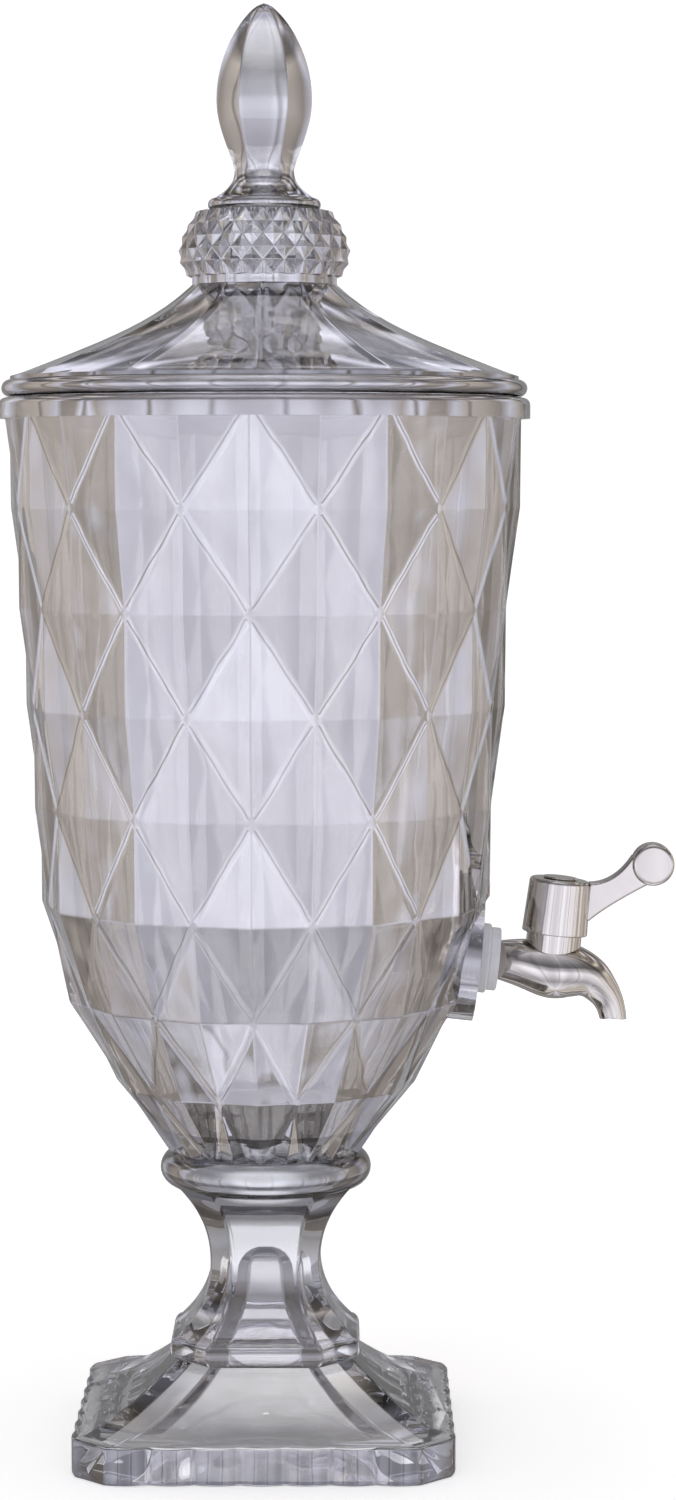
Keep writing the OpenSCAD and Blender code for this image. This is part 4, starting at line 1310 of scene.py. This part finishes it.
def make_nut(name, node, across, bore):
    """Hexagonal nut with turned corners, as thick as its node."""
    start, end = along_shank(node)
    deep = end - start
    radius = across / math.sqrt(3)
    bm = bmesh.new()
    bmesh.ops.create_cone(bm, cap_ends=True, segments=6, radius1=radius, radius2=radius, depth=deep)
    soften(bm, [e for e in bm.edges if not is_level(e)], NUT_CORNER, 3)
    soften(bm, [e for e in bm.edges if is_level(e)], TURNED_EDGE, 2)
    at_nut = TAP_FRAME @ Matrix.Translation(((start + end) / 2, 0, 0)) @ TO_SHANK
    nut = new_object(bm, name, at_nut)
    bm = bmesh.new()
    bmesh.ops.create_cone(
        bm, cap_ends=True, segments=TUBE_STEPS, radius1=bore, radius2=bore, depth=2 * deep
    )
    combine(nut, new_object(bm, "thread_tool", at_nut), "DIFFERENCE")
    return smooth(nut)


# Studio


def studio_material(name, colour, weights, fades, glow, mirror_end):
    """Studio surface with its own glow, near and far, for the camera, through glass and in mirrors."""
    material = bpy.data.materials.new(name)
    material.use_nodes = True
    tree = material.node_tree
    where = add_node(tree, "ShaderNodeTexCoord").outputs["Object"]
    spread = add_node(tree, "ShaderNodeVectorMath", {0: where, 1: weights}, operation="MULTIPLY")
    far = add_node(tree, "ShaderNodeVectorMath", {0: spread.outputs["Vector"]}, operation="LENGTH")
    reach = far.outputs["Value"]
    path = add_node(tree, "ShaderNodeLightPath").outputs
    total = 0
    for ray, levels in zip(RAYS, glow):
        limits = dict(zip(("From Min", "From Max", "To Min", "To Max"), (*fades, *levels)))
        inputs = {"Value": reach, **limits}
        fade = add_node(tree, "ShaderNodeMapRange", inputs, interpolation_type="SMOOTHSTEP")
        seen = math_node(tree, "MULTIPLY", path[ray], fade.outputs["Result"])
        total = math_node(tree, "ADD", seen, total)
    shader = tree.nodes["Principled BSDF"]
    feed(tree, shader, {"Base Color": (*colour, 1), "Roughness": 0.9, "Specular IOR Level": 0})
    feed(tree, shader, {"Emission Color": WHITE, "Emission Strength": total})
    past = math_node(tree, "GREATER_THAN", reach, mirror_end)
    mirrored = math_node(tree, "MULTIPLY", past, path["Is Glossy Ray"])
    behind = add_node(tree, "ShaderNodeNewGeometry").outputs["Backfacing"]
    hidden = math_node(tree, "MAXIMUM", mirrored, behind)
    clear = add_node(tree, "ShaderNodeBsdfTransparent").outputs["BSDF"]
    mix = add_node(tree, "ShaderNodeMixShader", {"Fac": hidden, 1: shader.outputs["BSDF"], 2: clear})
    feed(tree, tree.nodes["Material Output"], {"Surface": mix.outputs["Shader"]})
    return material


def studio_plane(name, matrix, **look):
    """A large plane of the studio, which is no piece of the object."""
    bm = bmesh.new()
    bmesh.ops.create_grid(bm, x_segments=1, y_segments=1, size=PLANE_HALF)
    plane = new_object(bm, name, matrix)
    plane.data.materials.append(studio_material("Studio " + name, **look))


def colour_ramp(tree, value, stops):
    """Output of a colour ramp with stops of place and colour."""
    ramp = add_node(tree, "ShaderNodeValToRGB", {"Fac": value})
    elements = ramp.color_ramp.elements
    for i, (spot, colour) in enumerate(stops):
        element = elements[i] if i < len(elements) else elements.new(spot)
        element.position = spot
        element.color = (*colour, 1)
    return ramp.outputs["Color"]


def studio_world(stage):
    """Surroundings of upright soft strips: pale in front, taupe at the sides, dim overhead."""
    world = bpy.data.worlds.new("Studio")
    world.use_nodes = True
    tree = world.node_tree
    where = add_node(tree, "ShaderNodeTexCoord").outputs["Generated"]
    way = add_node(tree, "ShaderNodeSeparateXYZ", {0: where}).outputs
    front = math_node(tree, "MULTIPLY", way["Y"], -1)
    angle = math_node(tree, "ARCTAN2", way["X"], front)
    turned = math_node(tree, "ADD", angle, stage.world_turn)
    half_turn = math_node(tree, "DIVIDE", math_node(tree, "ABSOLUTE", turned), math.pi)
    strips = [(turn / 180, [c * strength for c in getattr(stage, tone)]) for turn, tone, strength in STRIPS]
    around = colour_ramp(tree, half_turn, strips)
    height = math_node(tree, "DIVIDE", math_node(tree, "ADD", way["Z"], 1), 2)
    rises = [
        colour_ramp(tree, height, [((z + 1) / 2, [strength] * 3) for z, strength in rise])
        for rise in (FRONT_RISE, BACK_RISE)
    ]
    behind = add_node(tree, "ShaderNodeMapRange", {"Value": way["Y"], "From Max": BACK_START})
    rise = mix_colours(tree, behind.outputs["Result"], *rises)
    lit = mix_colours(tree, 1, around, rise, "MULTIPLY")
    path = add_node(tree, "ShaderNodeLightPath").outputs
    colour = mix_colours(tree, path["Is Transmission Ray"], lit, (*stage.outline, 1))
    background = tree.nodes["Background"]
    feed(tree, background, {"Color": colour, "Strength": stage.world})
    plain = add_node(tree, "ShaderNodeBackground", {"Color": WHITE})
    ends = {1: background.outputs["Background"], 2: plain.outputs["Background"]}
    seen = add_node(tree, "ShaderNodeMixShader", {"Fac": path["Is Camera Ray"], **ends})
    feed(tree, tree.nodes["World Output"], {"Surface": seen.outputs["Shader"]})
    return world


def turn_to(obj, spot, aim):
    """Puts a lamp or camera at a place, facing a point."""
    obj.location = spot
    obj.rotation_euler = (Vector(aim) - Vector(spot)).to_track_quat("-Z", "Y").to_euler()
    bpy.context.scene.collection.objects.link(obj)


def area_light(name, radiance, spot, aim, size):
    """A soft rectangular lamp that faces a point, as bright as the radiance says, unseen in mirrors."""
    data = bpy.data.lights.new(name, "AREA")
    data.shape = "RECTANGLE"
    data.size, data.size_y = size
    data.energy = radiance * math.pi * size[0] * size[1]
    lamp = bpy.data.objects.new(name, data)
    lamp.visible_glossy = False
    turn_to(lamp, spot, aim)
    return lamp


# Operators


class DISPENSER_OT_bowl(Operator):
    """Builds the faceted bowl"""

    bl_idname = "dispenser.bowl"
    bl_label = "Bowl"

    def execute(self, context):
        settings = context.scene.dispenser
        glass = glass_material(settings.glass, "Smoke glass", settings.glass.lustre)
        place(make_bowl(settings.bowl, settings.tap), "vessel", "glass", glass, "bowl")
        return {"FINISHED"}


class DISPENSER_OT_pedestal(Operator):
    """Builds the square foot with its stem"""

    bl_idname = "dispenser.pedestal"
    bl_label = "Foot"

    def execute(self, context):
        settings = context.scene.dispenser
        glass = glass_material(settings.glass, "Foot glass", settings.glass.foot_lustre)
        place(make_pedestal(settings.pedestal), "vessel", "glass", glass, "pedestal")
        return {"FINISHED"}


class DISPENSER_OT_lid(Operator):
    """Builds the lid"""

    bl_idname = "dispenser.lid"
    bl_label = "Lid"

    def execute(self, context):
        settings = context.scene.dispenser
        glass = glass_material(settings.glass, "Smoke glass", settings.glass.lustre)
        place(make_lid(settings.lid), "lid_body", "glass", glass, "lid")
        return {"FINISHED"}


class DISPENSER_OT_finial(Operator):
    """Builds the finial"""

    bl_idname = "dispenser.finial"
    bl_label = "Finial"

    def execute(self, context):
        settings = context.scene.dispenser
        glass = glass_material(settings.glass, "Smoke glass", settings.glass.lustre)
        place(make_finial(settings.finial), "lid_body", "glass", glass, "finial")
        return {"FINISHED"}


class DISPENSER_OT_bonds(Operator):
    """Gives the two bonds their clear adhesive"""

    bl_idname = "dispenser.bonds"
    bl_label = "Bonds"

    def execute(self, context):
        material = adhesive_material()
        for node in ("pedestal_bond", "finial_bond"):
            finish(frame["nodes"][node], material)
        return {"FINISHED"}


class DISPENSER_OT_tap_seat(Operator):
    """Builds the washers and the nut that hold the tap"""

    bl_idname = "dispenser.tap_seat"
    bl_label = "Washers and nut"

    def execute(self, context):
        tap = context.scene.dispenser.tap
        silicone = silicone_material()
        clear = plastic_material("Pale plastic", (0.92, 0.92, 0.92), 0.3)
        rings = (
            ("outer_gasket", tap.gasket_radius, 0.8 * MM, "silicone", silicone),
            ("outer_washer", tap.washer_radius, 0.6 * MM, "clear_plastic", clear),
            ("inner_gasket", tap.gasket_radius, 0.8 * MM, "silicone", silicone),
            ("inner_washer", tap.washer_radius, 0.3 * MM, "clear_plastic", clear),
        )
        for node, radius, edge, slot, material in rings:
            ring = make_ring("seat_" + node, node, radius, tap.shank_radius + RING_GAP, edge)
            place(ring, "vessel", slot, material, node)
        nut = make_nut("seat_lock_nut", "lock_nut", tap.nut_across, tap.shank_radius + NUT_GAP)
        place(nut, "vessel", "clear_plastic", clear, "lock_nut")
        return {"FINISHED"}


class DISPENSER_OT_tap(Operator):
    """Builds the silver tap body"""

    bl_idname = "dispenser.tap"
    bl_label = "Tap body"

    def execute(self, context):
        tap = context.scene.dispenser.tap
        place(make_tap_body(tap), "vessel", "silver_plating", silver_material(tap), "tap_body")
        return {"FINISHED"}


class DISPENSER_OT_handle(Operator):
    """Builds the handle with its lever and cap"""

    bl_idname = "dispenser.handle"
    bl_label = "Handle"

    def execute(self, context):
        tap = context.scene.dispenser.tap
        place(make_handle(tap), "tap_handle", "silver_plating", silver_material(tap), "handle")
        place(make_cap(tap), "tap_handle", "silver_plating", silver_material(tap), "handle_cap")
        return {"FINISHED"}


class DISPENSER_OT_valve(Operator):
    """Gives the valve's inner pieces their finishes"""

    bl_idname = "dispenser.valve"
    bl_label = "Valve pieces"

    def execute(self, context):
        white = plastic_material("White valve plastic", (0.80, 0.80, 0.78), 0.45)
        rubber = plastic_material("Black rubber", (0.03, 0.03, 0.03), 0.55)
        finishes = {
            "plug_retainer": white,
            "valve_plug": white,
            "plug_o_ring_upper": rubber,
            "plug_o_ring_lower": rubber,
            "handle_screw": steel_material(),
        }
        for node, material in finishes.items():
            finish(frame["nodes"][node], material)
        return {"FINISHED"}


class DISPENSER_OT_stage(Operator):
    """Sets the floor, the backdrop, the lights and the camera"""

    bl_idname = "dispenser.stage"
    bl_label = "Stage"

    def execute(self, context):
        scene = context.scene
        stage = scene.dispenser.stage
        scene.view_settings.view_transform = "Standard"
        studio_plane(
            "floor",
            Matrix.Identity(4),
            colour=stage.floor_colour,
            weights=(1, 1, 0),
            fades=(0.3, 1.1),
            glow=FLOOR_GLOW,
            mirror_end=stage.floor_mirror,
        )
        studio_plane(
            "backdrop",
            Matrix.Translation(BACK_PLACE) @ Matrix.Rotation(math.pi / 2, 4, "X"),
            colour=stage.back_colour,
            weights=(1, 0, 0.45),
            fades=(0.11, 0.26),
            glow=BACK_GLOW,
            mirror_end=stage.back_mirror,
        )
        key = area_light("key", stage.key, spot=(-0.6, -1.5, 0.9), aim=(0, 0, 0.26), size=(0.7, 0.9))
        key.visible_transmission = False
        area_light("top", stage.top, spot=(0, 0.3, 1.35), aim=(0, 0.3, 0), size=(0.9, 1.5))
        scene.world = studio_world(stage)
        data = bpy.data.cameras.new("camera")
        data.lens = stage.lens
        camera = bpy.data.objects.new("camera", data)
        spot = (stage.offset, -stage.distance, stage.height)
        turn_to(camera, spot, aim=(stage.offset, 0, stage.aim))
        scene.camera = camera
        return {"FINISHED"}


class DISPENSER_PT_panel(Panel):
    """Lists the dispenser's pieces"""

    bl_idname = "DISPENSER_PT_panel"
    bl_label = "Juice dispenser"
    bl_space_type = "VIEW_3D"
    bl_region_type = "UI"
    bl_category = "Dispenser"

    def draw(self, context):
        for operator in OPERATORS:
            self.layout.operator(operator.bl_idname)


GROUPS = (
    GlassSettings, BowlSettings, LidSettings, FinialSettings, PedestalSettings, TapSettings, StageSettings,
    DispenserSettings,
)
OPERATORS = (
    DISPENSER_OT_stage, DISPENSER_OT_bowl, DISPENSER_OT_pedestal, DISPENSER_OT_lid, DISPENSER_OT_finial,
    DISPENSER_OT_bonds, DISPENSER_OT_tap_seat, DISPENSER_OT_tap, DISPENSER_OT_handle, DISPENSER_OT_valve,
)


def register():
    """Registers the classes and the scene's settings."""
    for cls in (*GROUPS, *OPERATORS, DISPENSER_PT_panel):
        bpy.utils.register_class(cls)
    bpy.types.Scene.dispenser = PointerProperty(type=DispenserSettings)


def unregister():
    """Removes the classes and the scene's settings."""
    del bpy.types.Scene.dispenser
    for cls in reversed((*GROUPS, *OPERATORS, DISPENSER_PT_panel)):
        bpy.utils.unregister_class(cls)


def main():
    """Builds everything in order."""
    register()
    for operator in OPERATORS:
        group, name = operator.bl_idname.split(".")
        getattr(getattr(bpy.ops, group), name)()


if __name__ == "__main__":
    main()
